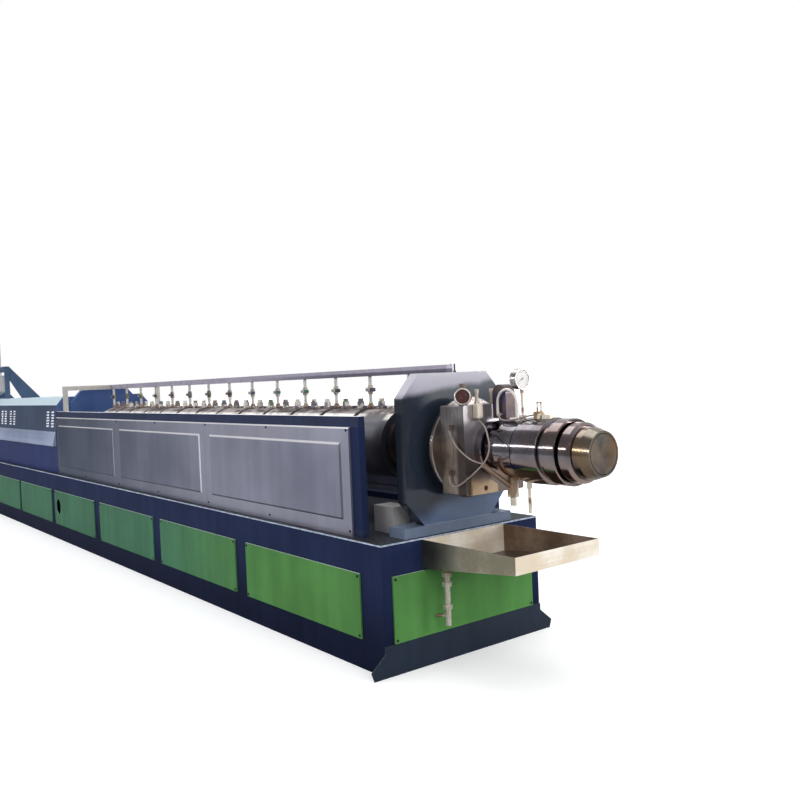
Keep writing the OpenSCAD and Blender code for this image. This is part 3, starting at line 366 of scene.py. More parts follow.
def jacket_steel(name):
    """Heater jackets: painted pale where they face up, as a painted highlight, stained along
    the ridge and dark on the sides, with a painted sheen and painted shade near the front.
    """
    paint = Paint(name, Metallic=0.6, Specular_IOR_Level=0.2)
    back = JACKET_FRONT - paint.axes()[0]
    face_up = paint.facing()[2]
    smoke = paint.noise(9, detail=5, roughness=0.6)
    grain = paint.noise(1.0, detail=2, stretch=(4, 200, 200))
    dark_sides = paint.mix(smoke, (0.12, 0.12, 0.14), (0.24, 0.235, 0.27))
    # Painted sheen on the sides, starting 10 cm behind the front end.
    sheen = paint.band(face_up, 0.10, 0.28)*paint.band(face_up, 0.60, 0.40)
    dark_sides = paint.mix(sheen*paint.band(back, 0.004, 0.104)*0.8, dark_sides, (0.36, 0.37, 0.41))
    # Painted shade on the front 12 cm of the sides.
    dark_sides = paint.mix(paint.band(back, 0.124, 0.004), dark_sides, (0.08, 0.08, 0.095))
    pale = paint.mix(paint.band(smoke, 0.40, 0.56), (0.50, 0.46, 0.42), (0.92, 0.90, 0.88))
    brown = paint.mix(paint.band(smoke, 0.42, 0.60), (0.045, 0.032, 0.030), (0.38, 0.33, 0.32))
    # Painted shade on the pale top of the first jacket.
    first_jacket_shade = paint.band(back, 0.284, 0.224)*paint.band(back, 0.034, 0.064)
    pale = paint.mix(first_jacket_shade*0.92, pale, (0.05, 0.05, 0.06))
    # Faces that look up are painted pale, as a painted highlight.
    colour = paint.mix(paint.band(face_up, 0.66, 0.78), dark_sides, pale)
    colour = paint.mix(paint.band(face_up + smoke*0.10, 0.885, 0.935), colour, brown)
    paint.bump(grain, 0.1, 0.0004)
    return paint.give(Base_Color=colour, Roughness=0.32 + smoke*0.2)


def turned_steel(name, light, deep, tint, roughness, belly_reflection=None):
    """Turned steel of the head, oiled and heat tinted, with rings left by the lathe. belly,
    where given, is a warm painted reflection on faces that look down.
    """
    paint = Paint(name, Metallic=1.0)
    rings = paint.noise(1.0, detail=2, stretch=(900, 14, 14))
    smoke = paint.noise(7, detail=4, roughness=0.6)
    tone = paint.band(smoke*0.8 + rings*0.2, 0.35, 0.65)
    warm = paint.band(paint.noise(3.2, detail=2), 0.44, 0.62)*0.7
    colour = paint.mix(warm, paint.mix(tone, deep, light), tint)
    if belly_reflection:
        # Painted warm reflection on faces that look down.
        colour = paint.mix(paint.band(paint.facing()[2], 0.0, -0.55), colour, belly_reflection)
    paint.bump(rings, 0.05, 0.0002)
    return paint.give(Base_Color=colour, Roughness=roughness + rings*0.04 + smoke*0.06)


def pipe_zinc(name, light, deep, roughness=0.36, metal=0.8, tints=(), spread=1.0):
    """Galvanised pipe with its mottled flakes, and stains in the tints where given."""
    paint = Paint(name, Metallic=metal)
    flakes = paint.add("TexVoronoi", inputs={"Vector": paint.place(), "Scale": 190})
    dull = paint.noise(28, detail=4)
    colour = paint.mix(paint.band(flakes*0.5 + dull*0.5, 0.25, 0.62), deep, light)
    for i, tint in enumerate(tints):
        where = paint.band(paint.noise(spread*(6.3 + i*2.9), detail=1), 0.52, 0.60)
        colour = paint.mix(where, colour, tint)
    paint.bump(flakes, 0.12, 0.0005)
    return paint.give(Base_Color=colour, Roughness=roughness + dull*0.22)


def iron_black(name, colour, rust):
    """Oiled dark iron with rusty stains."""
    paint = Paint(name, Metallic=0.6, Specular_IOR_Level=0.3)
    stains = paint.noise(13, detail=6, roughness=0.65)
    grit = paint.noise(170, detail=3)
    paint.bump(grit, 0.25, 0.0008)
    return paint.give(Base_Color=paint.mix(paint.band(stains, 0.46, 0.70), colour, rust),
        Roughness=0.5 + grit*0.2)


def flat_plastic(name, colour, roughness=0.4, coat=0.0):
    """Moulded plastic with a faint grain and handling marks."""
    paint = Paint(name, Coat_Weight=coat, Specular_IOR_Level=0.35)
    marks = paint.noise(90, detail=4)
    paint.bump(paint.noise(700, detail=2), 0.08, 0.0003)
    return paint.give(Base_Color=paint.mix(marks, shade(colour, 0.85), shade(colour, 1.15)),
        Roughness=roughness + marks*0.15)


def header_zinc(name):
    """Pipe of the water header, pale, with painted shade on its lower half towards the head.
    """
    paint = Paint(name, Metallic=0.3, Specular_IOR_Level=0.2)
    along, _, up = paint.axes()
    dull = paint.noise(22, detail=4)
    pale = paint.mix(dull, (0.26, 0.235, 0.315), (0.46, 0.42, 0.50))
    deep = paint.mix(dull, (0.075, 0.07, 0.105), (0.14, 0.13, 0.17))
    # Painted shade on the lower half, fading out away from the head.
    low = paint.band(up, HEADER_MID + 0.004, HEADER_MID - 0.004)*paint.band(along, -2.6, -0.8)
    paint.bump(dull, 0.1, 0.0005)
    return paint.give(Base_Color=paint.mix(low, pale, deep), Roughness=0.4 + dull*0.2)


def changer_steel(name):
    """Ground block of the screen changer: side warm grey below and grey above with a painted
    dark reflection strip, front pale above and darker below.
    """
    paint = Paint(name, Metallic=0.9)
    along, _, up = paint.axes()
    grain = paint.noise(1.0, detail=3, stretch=(160, 160, 5))
    smoke = paint.noise(6, detail=4, roughness=0.6)
    tone = paint.band(smoke*0.6 + grain*0.4, 0.36, 0.64)
    side = paint.mix(tone, (0.13, 0.105, 0.085), (0.34, 0.28, 0.235))
    upper = paint.mix(tone, (0.11, 0.10, 0.105), (0.24, 0.225, 0.23))
    side = paint.mix(paint.band(up, 1.10, 1.20), side, upper)
    # Painted reflection: a dark strip on the side towards its front end, below the top.
    dark_reflection_strip = paint.band(along, 0.178, 0.205)*paint.band(up, 1.26, 1.20)
    side = paint.mix(dark_reflection_strip*0.9, side, (0.055, 0.042, 0.042))
    front = paint.mix(paint.band(up, 1.18, 0.98), (0.47, 0.44, 0.46), (0.155, 0.125, 0.115))
    faces_front = paint.band(paint.facing()[0], 0.4, 0.7)
    paint.bump(grain, 0.12, 0.0004)
    return paint.give(Base_Color=paint.mix(faces_front, side, front),
        Roughness=0.26 + smoke*0.12 + grain*0.08)


def tray_steel(name):
    """Steel of the drip tray: walls that face the front painted bright as painted light, the
    side in painted shade near the yoke, and brown inside.
    """
    paint = Paint(name, Specular_IOR_Level=0.3)
    along, across, _ = paint.axes()
    face_front, _, face_up = paint.facing()
    grain = paint.noise(1.0, detail=3, stretch=(160, 3, 160))
    stain = paint.noise(4, detail=6, roughness=0.62)
    tone = paint.band(grain*0.25 + stain*0.75, 0.38, 0.64)
    side = paint.mix(tone, (0.24, 0.215, 0.15), (0.42, 0.39, 0.30))
    shaded = paint.mix(tone, (0.040, 0.044, 0.040), (0.085, 0.088, 0.075))
    # Painted shade on the side near the yoke.
    side = paint.mix(paint.band(along, 0.38, 0.05), side, shaded)
    # Painted light on the walls that face the front.
    bright = paint.mix(tone, (0.78, 0.66, 0.50), (0.98, 0.93, 0.83))
    inner = paint.mix(tone, (0.17, 0.115, 0.08), (0.40, 0.30, 0.235))
    floor = paint.mix(tone, (0.055, 0.040, 0.030), (0.15, 0.115, 0.09))
    faces_front = paint.band(face_front, 0.5, 0.8)
    walls = paint.mix(faces_front, paint.mix(across > 0, side, inner), bright)
    paint.bump(grain, 0.08, 0.0003)
    return paint.give(Base_Color=paint.mix(paint.band(face_up, 0.4, 0.8), walls, floor),
        Metallic=0.6 - faces_front*0.4, Roughness=0.24 + stain*0.16)


def injection_finish(name):
    """Brown steel body of the injection valve, and its pale bent tube."""
    paint = Paint(name, Metallic=0.7)
    across = paint.axes()[1]
    smoke = paint.noise(19, detail=5, roughness=0.6)
    body = paint.mix(smoke, (0.040, 0.030, 0.034), (0.17, 0.125, 0.12))
    violet = paint.band(paint.noise(12, detail=1), 0.54, 0.60)
    body = paint.mix(violet, body, (0.09, 0.075, 0.13))
    tube = paint.mix(smoke, (0.52, 0.49, 0.45), (0.94, 0.92, 0.88))
    paint.bump(smoke, 0.1, 0.0005)
    return paint.give(Base_Color=paint.mix(across < INJECTION_TUBE_SIDE, body, tube),
        Roughness=0.26 + smoke*0.14)


def die_fitting_finish(name):
    """Cream fittings under and over the die, with a copper feed tube."""
    paint = Paint(name, Metallic=0.6)
    across = paint.axes()[1]
    smoke = paint.noise(26, detail=4)
    cream = paint.mix(smoke, (0.50, 0.42, 0.31), (0.92, 0.87, 0.76))
    stained = paint.band(paint.noise(15, detail=1), 0.53, 0.60)
    cream = paint.mix(stained, cream, (0.28, 0.19, 0.12))
    copper = paint.mix(smoke, (0.16, 0.10, 0.075), (0.42, 0.29, 0.22))
    paint.bump(smoke, 0.1, 0.0005)
    return paint.give(Base_Color=paint.mix(across < FEED_TUBE_SIDE, cream, copper),
        Roughness=0.28 + smoke*0.14)


def changer_fitting_finish(name):
    """Sensors and their housing, the dark coupling, the clips and the tan lug."""
    paint = Paint(name, Metallic=0.5)
    along, across, up = paint.axes()
    smoke = paint.noise(22, detail=4)
    brown = paint.mix(smoke, (0.065, 0.045, 0.042), (0.22, 0.165, 0.14))
    tan = paint.mix(smoke, (0.30, 0.20, 0.12), (0.56, 0.41, 0.27))
    pale = paint.mix(smoke, (0.42, 0.34, 0.27), (0.82, 0.74, 0.64))
    lug = paint.mix(paint.band(up, 0.925, 0.965), tan, brown)
    colour = paint.mix(up > AXIS_Z - 0.10, lug, brown)
    housing = (along > CHANGER_HIGH.x + 0.002)*(up > 1.20)
    sensors = (across > -0.09)*(up > CHANGER_HIGH.z + 0.001)
    colour = paint.mix(housing + sensors, colour, pale)
    paint.bump(smoke, 0.1, 0.0005)
    return paint.give(Base_Color=colour, Roughness=0.30 + smoke*0.15)


def valve_finish(name):
    """Nickel valve bodies with brown stains."""
    paint = Paint(name, Metallic=0.8)
    wear = paint.noise(120, detail=3)
    stain = paint.band(paint.noise(5.1, detail=2), 0.47, 0.58)
    body = paint.mix(wear, (0.30, 0.27, 0.22), (0.58, 0.55, 0.49))
    paint.bump(wear, 0.1, 0.0005)
    return paint.give(Base_Color=paint.mix(stain, body, (0.20, 0.12, 0.09)),
        Roughness=0.30 + wear*0.12)


# Finishes on the frame's own pieces

def coat(material, *names):
    """Gives CAD nodes their finish."""
    for name in names:
        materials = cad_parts[name].data.materials
        materials.clear()
        materials.append(material)


def coat_base():
    """Navy base with its green panels."""
    # The frame is painted darker towards its foot, as painted shade.
    coat(machine_paint("navy_machine_paint", (0.0165, 0.0245, 0.0680), gloss=0.02, low=0.48),
        "side_top_rails", "side_bottom_rails", "side_posts", "end_rails", "cross_beams",
        "guard_posts")
    # The deck plates' edges are painted bright, as a painted highlight with chips of wear.
    coat(machine_paint("deck_navy_paint", (0.010, 0.012, 0.020), gloss=0.05, edge_highlight_and_wear=0.9),
        "deck_plates")
    coat(machine_paint("skirt_navy_paint", (0.014, 0.023, 0.040), roughness=0.30, gloss=0.2),
        "end_skirts")
    # The green panels' faces that look up take a pale green, as painted light.
    coat(machine_paint("leaf_green_paint", (0.079, 0.228, 0.058), roughness=0.46, gloss=0.08,
        lit=(0.52, 0.64, 0.50), rear=(0.050, 0.150, 0.084), reach=(-0.8, -3.0)),
        "near_side_panels", "far_side_panels", "end_panels")
    coat(machine_paint("box_grey_paint", (0.42, 0.41, 0.405), gloss=0.2), "deck_box")


def coat_yokes():
    """Yokes that carry the barrel, on their beams."""
    coat(machine_paint("yoke_navy_paint", YOKE_NAVY, roughness=0.10, gloss=0.5,
        tones=yoke_painted_light), "front_yoke")
    coat(machine_paint("rear_yoke_blue_paint", (0.055, 0.100, 0.255)), "rear_yoke")
    # The beams take a navy painted much lighter, as painted light.
    coat(machine_paint("beam_navy_paint", (0.135, 0.178, 0.260), gloss=0.4, roughness=0.3),
        "yoke_beams")


def coat_guard():
    """Guard with rails that are painted bright on top, as painted light."""
    coat(machine_paint("guard_navy_paint", (0.018, 0.027, 0.068), lit=(0.98, 0.98, 1.0),
        lit_above=GUARD_HIGH), "guard_rails")
    coat(guard_steel("guard_sheet_steel"), "near_guard_panels", "far_guard_panels")


def coat_drive_and_feed():
    """Hood over the drive, with the stand, hopper and loader pipe."""
    # The hood covers' faces that look up take a painted reflection.
    coat(sheet_steel("hood_sheet_steel", (0.052, 0.078, 0.150), (0.032, 0.050, 0.100),
        metal=0.35, lit=(0.54, 0.66, 0.73), roughness=0.40), "hood_covers")
    coat(sheet_steel("apron_sheet_steel", (0.34, 0.39, 0.54), (0.17, 0.21, 0.31),
        roughness=0.34, grain=(3, 200, 200), metal=0.35), "hood_aprons")
    coat(machine_paint("hood_navy_paint", (0.019, 0.030, 0.125)), "hood_lower_panels")
    coat(machine_paint("hood_end_blue_paint", (0.060, 0.105, 0.240)), "hood_end_plates")
    coat(machine_paint("stand_navy_paint", (0.050, 0.085, 0.150)), "feed_stand")
    coat(sheet_steel("hopper_sheet_steel", (0.60, 0.60, 0.61), (0.38, 0.38, 0.40)),
        "feed_hopper", "loader_pipe")


def coat_barrel():
    """Barrel with its jackets, caps and cooling pipes."""
    coat(iron_black("barrel_iron", (0.038, 0.035, 0.038), (0.095, 0.065, 0.055)),
        "barrel", "cooling_collars")
    coat(jacket_steel("jacket_sheet_steel"), "heater_jackets")
    coat(pipe_zinc("cap_ceramic", (0.78, 0.74, 0.68), (0.40, 0.35, 0.31), roughness=0.5,
        metal=0.0, tints=((0.20, 0.125, 0.10), (0.13, 0.17, 0.12), (0.15, 0.13, 0.15)),
        spread=1.4), "terminal_caps")
    coat(pipe_zinc("drop_pipe_zinc", (0.66, 0.65, 0.63), (0.30, 0.29, 0.27), metal=0.5),
        "drop_pipes")
    coat(valve_finish("valve_nickel"), "ball_valves")
    coat(header_zinc("header_zinc"), "water_header")
    coat(pipe_zinc("portal_zinc", (0.44, 0.42, 0.39), (0.30, 0.28, 0.26), metal=0.2),
        "header_portal")


def coat_head():
    """Clamp ring, screen changer and die, with the fittings and the tray under them."""
    coat(turned_steel("ring_turned_steel", (0.40, 0.36, 0.35), (0.20, 0.175, 0.175),
        (0.29, 0.22, 0.19), roughness=0.20), "clamp_ring")
    coat(changer_steel("changer_ground_steel"), "screen_changer")
    coat(changer_fitting_finish("changer_fittings_steel"), "changer_fittings")
    coat(turned_steel("head_turned_steel", (0.25, 0.235, 0.265), (0.125, 0.117, 0.135),
        (0.20, 0.138, 0.115), roughness=0.07, belly_reflection=(0.42, 0.31, 0.26)),
        "adapter_neck", "die_rear_section", "die_middle_section", "die_clamp_ring",
        "die_front_section")
    coat(turned_steel("lip_turned_steel", (0.22, 0.20, 0.17), (0.09, 0.08, 0.075),
        (0.30, 0.19, 0.10), roughness=0.14), "die_lip", "die_mandrel")
    coat(injection_finish("injection_brown_steel"), "injection_valve")
    coat(die_fitting_finish("fittings_cream_metal"), "die_fittings", "gauge_stem")
    coat(pipe_zinc("gauge_case_steel", (0.50, 0.46, 0.45), (0.24, 0.21, 0.21),
        roughness=0.16, metal=1.0), "pressure_gauge")
    coat(pipe_zinc("cable_beige_sleeve", (0.30, 0.245, 0.225), (0.15, 0.115, 0.10),
        roughness=0.5, metal=0.0), "head_cables")
    coat(tray_steel("tray_sheet_steel"), "drip_tray")
    coat(pipe_zinc("drain_pipe_zinc", (0.56, 0.52, 0.44), (0.26, 0.22, 0.17), metal=0.5,
        tints=((0.22, 0.14, 0.08),)), "tray_drain")


# Modelling helpers

def start_piece(kind, name, **settings):
    """Adds a primitive by itself, with its place in its mesh."""
    bpy.ops.object.select_all(action="DESELECT")
    getattr(bpy.ops.mesh, "primitive_" + kind + "_add")(**settings)
    piece = bpy.context.object
    piece.name = piece.data.name = name
    bpy.ops.object.transform_apply(location=True, rotation=True, scale=True)
    return piece


def pick_faces(piece, test):
    """Goes into edit mode with the faces selected whose middle and normal pass a test."""
    bpy.ops.object.mode_set(mode="EDIT")
    bpy.ops.mesh.select_mode(type="FACE")
    bpy.ops.mesh.select_all(action="DESELECT")
    bpy.ops.object.mode_set(mode="OBJECT")
    for face in piece.data.polygons:
        face.select = bool(test(face.center, face.normal))
    bpy.ops.object.mode_set(mode="EDIT")


def push(*way):
    """Extrudes the selected faces."""
    bpy.ops.mesh.extrude_region_move(TRANSFORM_OT_translate={"value": way})


def soften(piece, width, segments=1, angle=30):
    """Bevels the sharp edges with an applied modifier."""
    bpy.ops.object.mode_set(mode="OBJECT")
    bevel = piece.modifiers.new("soft_edges", "BEVEL")
    bevel.width = width
    bevel.segments = segments
    bevel.limit_method = "ANGLE"
    bevel.angle_limit = math.radians(angle)
    bpy.ops.object.modifier_apply(modifier=bevel.name)


def at(x, y, z, turn=0, axis="Z"):
    """A place with a turn in degrees."""
    return Matrix.Translation((x, y, z)) @ Matrix.Rotation(math.radians(turn), 4, axis)


def set_places(piece, places):
    """Puts copies of a modelled piece at all its places, as one piece in one mesh."""
    bpy.ops.object.mode_set(mode="OBJECT")
    bpy.ops.object.select_all(action="DESELECT")
    row = []
    for place in places[1:]:
        other = piece.copy()
        other.data = piece.data.copy()
        bpy.context.scene.collection.objects.link(other)
        other.data.transform(place)
        row.append(other)
    piece.data.transform(places[0])
    for other in row + [piece]:
        other.select_set(True)
    bpy.context.view_layer.objects.active = piece
    if row:
        bpy.ops.object.join()


def finish_piece(piece, material, smooth=35):
    """Shades a piece, gives it its finish and slot, and lets it ride on the machine."""
    if bpy.context.object.mode != "OBJECT":
        bpy.ops.object.mode_set(mode="OBJECT")
    bpy.ops.object.select_all(action="DESELECT")
    piece.select_set(True)
    bpy.context.view_layer.objects.active = piece
    bpy.ops.object.shade_smooth_by_angle(angle=math.radians(smooth))
    piece.data.materials.clear()
    piece.data.materials.append(material)
    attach(piece, "root")


# Screws

def button_screws(name, spots, turn, material):
    """Button heads with a hexagon socket at all the spots, facing the way they are turned."""
    radius, height = 0.0065, 0.0035
    screw = start_piece("cylinder", name, vertices=16, radius=radius, depth=height,
        location=(0, -height/2, 0), rotation=(QUARTER, 0, 0))
    pick_faces(screw, lambda middle, normal: normal.y < -0.9)
    bpy.ops.mesh.inset(thickness=radius*0.28, depth=height*0.25)
    bpy.ops.mesh.inset(thickness=radius*0.26, depth=0)
    push(0, height*0.5, 0)
    set_places(screw, [at(x, y, z, turn) for x, y, z in spots])
    finish_piece(screw, material)


def panel_row(first, pitch, length, count):
    """Start and length of each access panel in a row, counted back from the front end."""
    return [(first + i*pitch, length) for i in range(count)]


def panel_screws(material):
    """A screw in each corner of the green panels, apart from the rear end's."""
    inset = 0.015
    heights = (PANEL_LOW + inset, PANEL_HIGH - inset)
    panels = panel_row(first=0.182, pitch=1.367, length=1.221, count=4)
    panels += panel_row(first=5.616, pitch=1.272, length=1.197, count=3)
    for number, (start, length) in enumerate(panels):
        ends = (-start - inset, -start - length + inset)
        for word, side, turn in SIDES:
            spots = [(x, side*PANEL_SIDE, z) for x in ends for z in heights]
            button_screws("%s_side_screws_%d" % (word, number + 1), spots, turn, material)
    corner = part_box("end_panels")[1]
    half = corner.y - inset
    spots = [(corner.x, y, z) for y in (-half, half) for z in heights]
    button_screws("front_end_screws", spots, 90, material)


def guard_screws(material):
    """Screws along the top and the foot of each guard panel."""
    inset = 0.020
    heights = (GUARD_LOW + 0.026, GUARD_HIGH - 0.0155)
    for number in range(GUARD_PANELS):
        start = GUARD_FRONT - number*GUARD_PITCH
        ends = [start - GUARD_PITCH/2, start - GUARD_PITCH + GUARD_GAP + inset]
        if number == 0:
            ends.append(start - inset)
        for word, side, turn in SIDES:
            spots = [(x, side*GUARD_SIDE, z) for x in ends for z in heights]
            button_screws("%s_guard_screws_%d" % (word, number + 1), spots, turn, material)


def hood_screws(material):
    """Screws along the foot of the hood's lower panels."""
    halves, per_half, inset = 2, 5, 0.05
    low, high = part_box("hood_lower_panels")
    length = (high.x - low.x)/halves
    pitch = (length - 2*inset)/(per_half - 1)
    for number in range(halves):
        start = high.x - number*length
        xs = [start - inset - i*pitch for i in range(per_half)]
        for word, side, turn in SIDES:
            spots = [(x, -side*low.y, low.z + 0.035) for x in xs]
            button_screws("%s_hood_screws_%d" % (word, number + 1), spots, turn, material)


# Hood louvres

def louvre_spots(back, cover):
    """Middles of the vent slots on the near side of a hood cover, in four columns."""
    rows, pitch, margin = 6, 0.029, 0.080
    apron_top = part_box("hood_aprons")[1].z
    eave, eave_in = 1.340, 0.021
    lean = eave_in/(eave - apron_top)
    low = apron_top + (eave - apron_top - rows*pitch)/2
    column_pitch = SLOT_LENGTH*1.9
    pair = column_pitch + SLOT_LENGTH
    spots = []
    for start in (margin, cover - margin - pair):
        for column in (0, 1):
            for row in range(rows):
                z = low + row*pitch + SLOT_HEIGHT/2
                spots.append((back + start + column*column_pitch + SLOT_LENGTH/2,
                    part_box("hood_covers")[0].y + (z - apron_top)*lean, z))
    return spots


def hood_louvres(material):
    """A tilted blade with closed ends in each vent slot of the hood."""
    gap = 0.002
    low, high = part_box("hood_covers")
    cover = (high.x - low.x + gap)/2
    for number in range(2):
        spots = louvre_spots(high.x - (number + 1)*cover + gap, cover)
        for word, side, turn in SIDES:
            blade = start_piece("cube", "%s_louvres_%d" % (word, number + 1), size=1,
                scale=(SLOT_LENGTH*0.98, 0.0016, SLOT_HEIGHT*1.25), location=(0, 0.002, 0))
            pick_faces(blade, lambda middle, normal: normal.z < -0.9)
            bpy.ops.transform.translate(value=(0, -0.0055, 0))
            push(0, -0.0015, -0.001)
            pick_faces(blade, lambda middle, normal: abs(normal.x) > 0.9)
            bpy.ops.mesh.inset(thickness=0.0004, depth=0.0003)
            soften(blade, 0.0005)
            set_places(blade, [at(x, -side*y, z, turn) for x, y, z in spots])
            finish_piece(blade, material)


# Gauge

def gauge_disc(name, share, x, insets, material):
    """A thin disc in the gauge's case, its share of the case wide, with stepped rims."""
    disc = start_piece("cylinder", name, vertices=64, radius=GAUGE_RADIUS*share,
        depth=0.0008, location=(x, 0, GAUGE_Z), rotation=(0, QUARTER, 0))
    pick_faces(disc, lambda middle, normal: normal.x > 0.9)
    for thickness, depth in insets:
        bpy.ops.mesh.inset(thickness=GAUGE_RADIUS*thickness, depth=depth)
    finish_piece(disc, material)


def gauge_marks(material):
    """Plain marks round the dial, every fourth one longer."""
    last, sweep = 24, 270
    mark = start_piece("cube", "gauge_marks", size=1, scale=(0.0003, 0.0011, 0.0060))
    soften(mark, 0.0001)
    places = []
    for step in range(last + 1):
        long = step % 4 == 0
        reach = GAUGE_RADIUS*(0.70 if long else 0.74)
        grow = Matrix.Diagonal((1, 1.3, 1.5, 1)) if long else Matrix.Identity(4)
        places.append(at(DIAL_BED + 0.0009, 0, GAUGE_Z, step*sweep/last - sweep/2, "X")
            @ Matrix.Translation((0, 0, reach)) @ grow)
    set_places(mark, places)
    finish_piece(mark, material)


def gauge_needle(material):
    """A flat tapered needle with a short tail and a round hub."""
    turn = 118
    flatten = Matrix.Diagonal((0.45, 1, 1, 1))
    needle = start_piece("cone", "gauge_needle", vertices=12, radius1=0.0018,
        radius2=0.0004, depth=GAUGE_RADIUS*0.85, location=(0, 0, GAUGE_RADIUS*0.26))
    pick_faces(needle, lambda middle, normal: normal.z < -0.9)
    bpy.ops.mesh.inset(thickness=0.0004, depth=0)
    push(0, 0, -0.004)
    bpy.ops.mesh.primitive_cylinder_add(vertices=20, radius=0.0045, depth=0.0014,
        location=(0, 0, 0), rotation=(0, QUARTER, 0))
    set_places(needle, [at(DIAL_BED + 0.0020, 0, GAUGE_Z, turn, "X") @ flatten])
    finish_piece(needle, material)


def gauge_rim(material):
    """The rolled rim that holds the glass, drawn back over the case."""
    x = GAUGE_FRONT - 0.0004
    rim = start_piece("torus", "gauge_rim", major_segments=64, minor_segments=12,
        major_radius=GAUGE_RADIUS*0.945, minor_radius=GAUGE_RADIUS*0.05,
        rotation=(0, QUARTER, 0), location=(x, 0, GAUGE_Z))
    pick_faces(rim, lambda middle, normal:
        math.hypot(middle.y, middle.z - GAUGE_Z) > GAUGE_RADIUS*0.98)
    bpy.ops.transform.resize(value=(1.8, 1, 1), center_override=(x, 0, GAUGE_Z))
    finish_piece(rim, material, smooth=60)


def gauge_face():
    """Dial, marks, needle, glass and rim of the pressure gauge."""
    black = flat_plastic("gauge_mark_black", (0.03, 0.03, 0.035))
    gauge_disc("gauge_dial", 0.89, DIAL_BED + 0.0004, [(0.10, 0), (0.05, -0.0002)],
        flat_plastic("gauge_dial_white", (0.84, 0.80, 0.76)))
    gauge_marks(black)
    gauge_needle(black)
    clear = Paint("gauge_glass_clear", Roughness=0.05, Base_Color=(0.95, 0.97, 1),
        Alpha=0.12)
    gauge_disc("gauge_glass", 0.90, GAUGE_FRONT - 0.0008, [(0.06, 0.0002)], clear.material)
    gauge_rim(pipe_zinc("gauge_rim_steel", (0.80, 0.79, 0.78), (0.60, 0.59, 0.58),
        roughness=0.14, metal=1.0))


# Cooling pipes and jackets

def lever_grips():
    """A dipped plastic sleeve on each valve lever, in four colours."""
    colours = (("teal", (0.020, 0.13, 0.13)), ("violet", (0.055, 0.035, 0.10)),
        ("black", (0.018, 0.018, 0.022)), ("green", (0.020, 0.11, 0.045)))
    sleeves = [flat_plastic("grip_" + word, colour, roughness=0.35, coat=0.3)
        for word, colour in colours]
    lever_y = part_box("ball_valves")[0].y + 0.002
    for number, x in enumerate(PIPES_X):
        grip = start_piece("cube", "lever_grip_%02d" % (number + 1), size=1,
            scale=(0.050, 0.009, 0.0225), location=(0.0605, 0, 0))
        bpy.ops.object.mode_set(mode="EDIT")
        bpy.ops.mesh.subdivide(number_cuts=3)
        pick_faces(grip, lambda middle, normal: normal.x > 0.9)
        bpy.ops.transform.resize(value=(1, 0.8, 0.78))
        soften(grip, 0.0032, segments=3, angle=50)
        set_places(grip, [at(x, lever_y, VALVE_Z)])
        finish_piece(grip, sleeves[number % len(sleeves)], smooth=50)


def pipe_unions(material):
    """A union nut on each drop pipe, over its collar, each turned a little further."""
    above_collar = 0.045
    nut = start_piece("cylinder", "pipe_unions", vertices=6, radius=0.0195, depth=0.020)
    pick_faces(nut, lambda middle, normal: abs(normal.z) > 0.9)
    bpy.ops.mesh.inset(thickness=0.0025, depth=0.0015)
    bpy.ops.mesh.primitive_cylinder_add(vertices=24, radius=0.0145, depth=0.036,
        location=(0, 0, 0.002))
    soften(nut, 0.0008)
    set_places(nut, [at(x, 0, AXIS_Z + COLLAR_RADIUS + above_collar, 15*i)
        for i, x in enumerate(PIPES_X)])
    finish_piece(nut, material)


def jacket_clamps(material):
    """The folded flanges and their bolts that close each heater jacket along its ridge."""
    length, width, cap_spacing, fold_in = 0.300, 0.034, 0.160, 0.008
    strip = start_piece("cube", "jacket_clamps", size=1, scale=(length, width, 0.010),
        location=(0, 0, 0.001))
    bpy.ops.object.mode_set(mode="EDIT")
    bpy.ops.mesh.subdivide(number_cuts=8)
    pick_faces(strip, lambda middle, normal: normal.z > 0.9 and abs(middle.y) > fold_in)
    bpy.ops.mesh.inset(thickness=0.0015, depth=0)
    push(0, 0, 0.009)
    # Every other part of the middle stands up too, apart from those at the two caps
    pick_faces(strip, lambda middle, normal: normal.z > 0.9 and abs(middle.y) < fold_in
        and abs(abs(middle.x) - cap_spacing/2) > 0.030
        and int((middle.x + length/2)*30) % 2 == 0)
    bpy.ops.mesh.inset(thickness=0.002, depth=0)
    push(0, 0, 0.006)
    soften(strip, 0.0010)
    set_places(strip, [at(x, 0, JACKET_TOP) for x in JACKETS_X])
    finish_piece(strip, material)
    bolt = start_piece("cylinder", "jacket_clamp_bolts", vertices=6, radius=0.0065,
        depth=0.060, rotation=(QUARTER, 0, 0))
    pick_faces(bolt, lambda middle, normal: abs(normal.y) > 0.9)
    bpy.ops.mesh.inset(thickness=0.0018, depth=0.0008)
    soften(bolt, 0.0006)
    set_places(bolt, [at(x + along, 0, JACKET_TOP + 0.008)
        for x in JACKETS_X for along in (-0.130, -0.030, 0.030, 0.130)])
    finish_piece(bolt, material)


# Yoke and head

def yoke_studs(material):
    """Two studs with their nuts on top of the front yoke."""
    stud = start_piece("cylinder", "yoke_studs", vertices=20, radius=0.004, depth=0.044,
        location=(0, 0, 0.022))
    pick_faces(stud, lambda middle, normal: normal.z > 0.9)
    bpy.ops.mesh.inset(thickness=0.0012, depth=0.0012)
    bpy.ops.mesh.primitive_cylinder_add(vertices=6, radius=0.0085, depth=0.008,
        location=(0, 0, 0.004))
    soften(stud, 0.0005)
    along, first, second = -0.076, 0.046, 0.020
    set_places(stud, [at(along, first, YOKE_TOP), at(along, second, YOKE_TOP, turn=20)])
    finish_piece(stud, material)


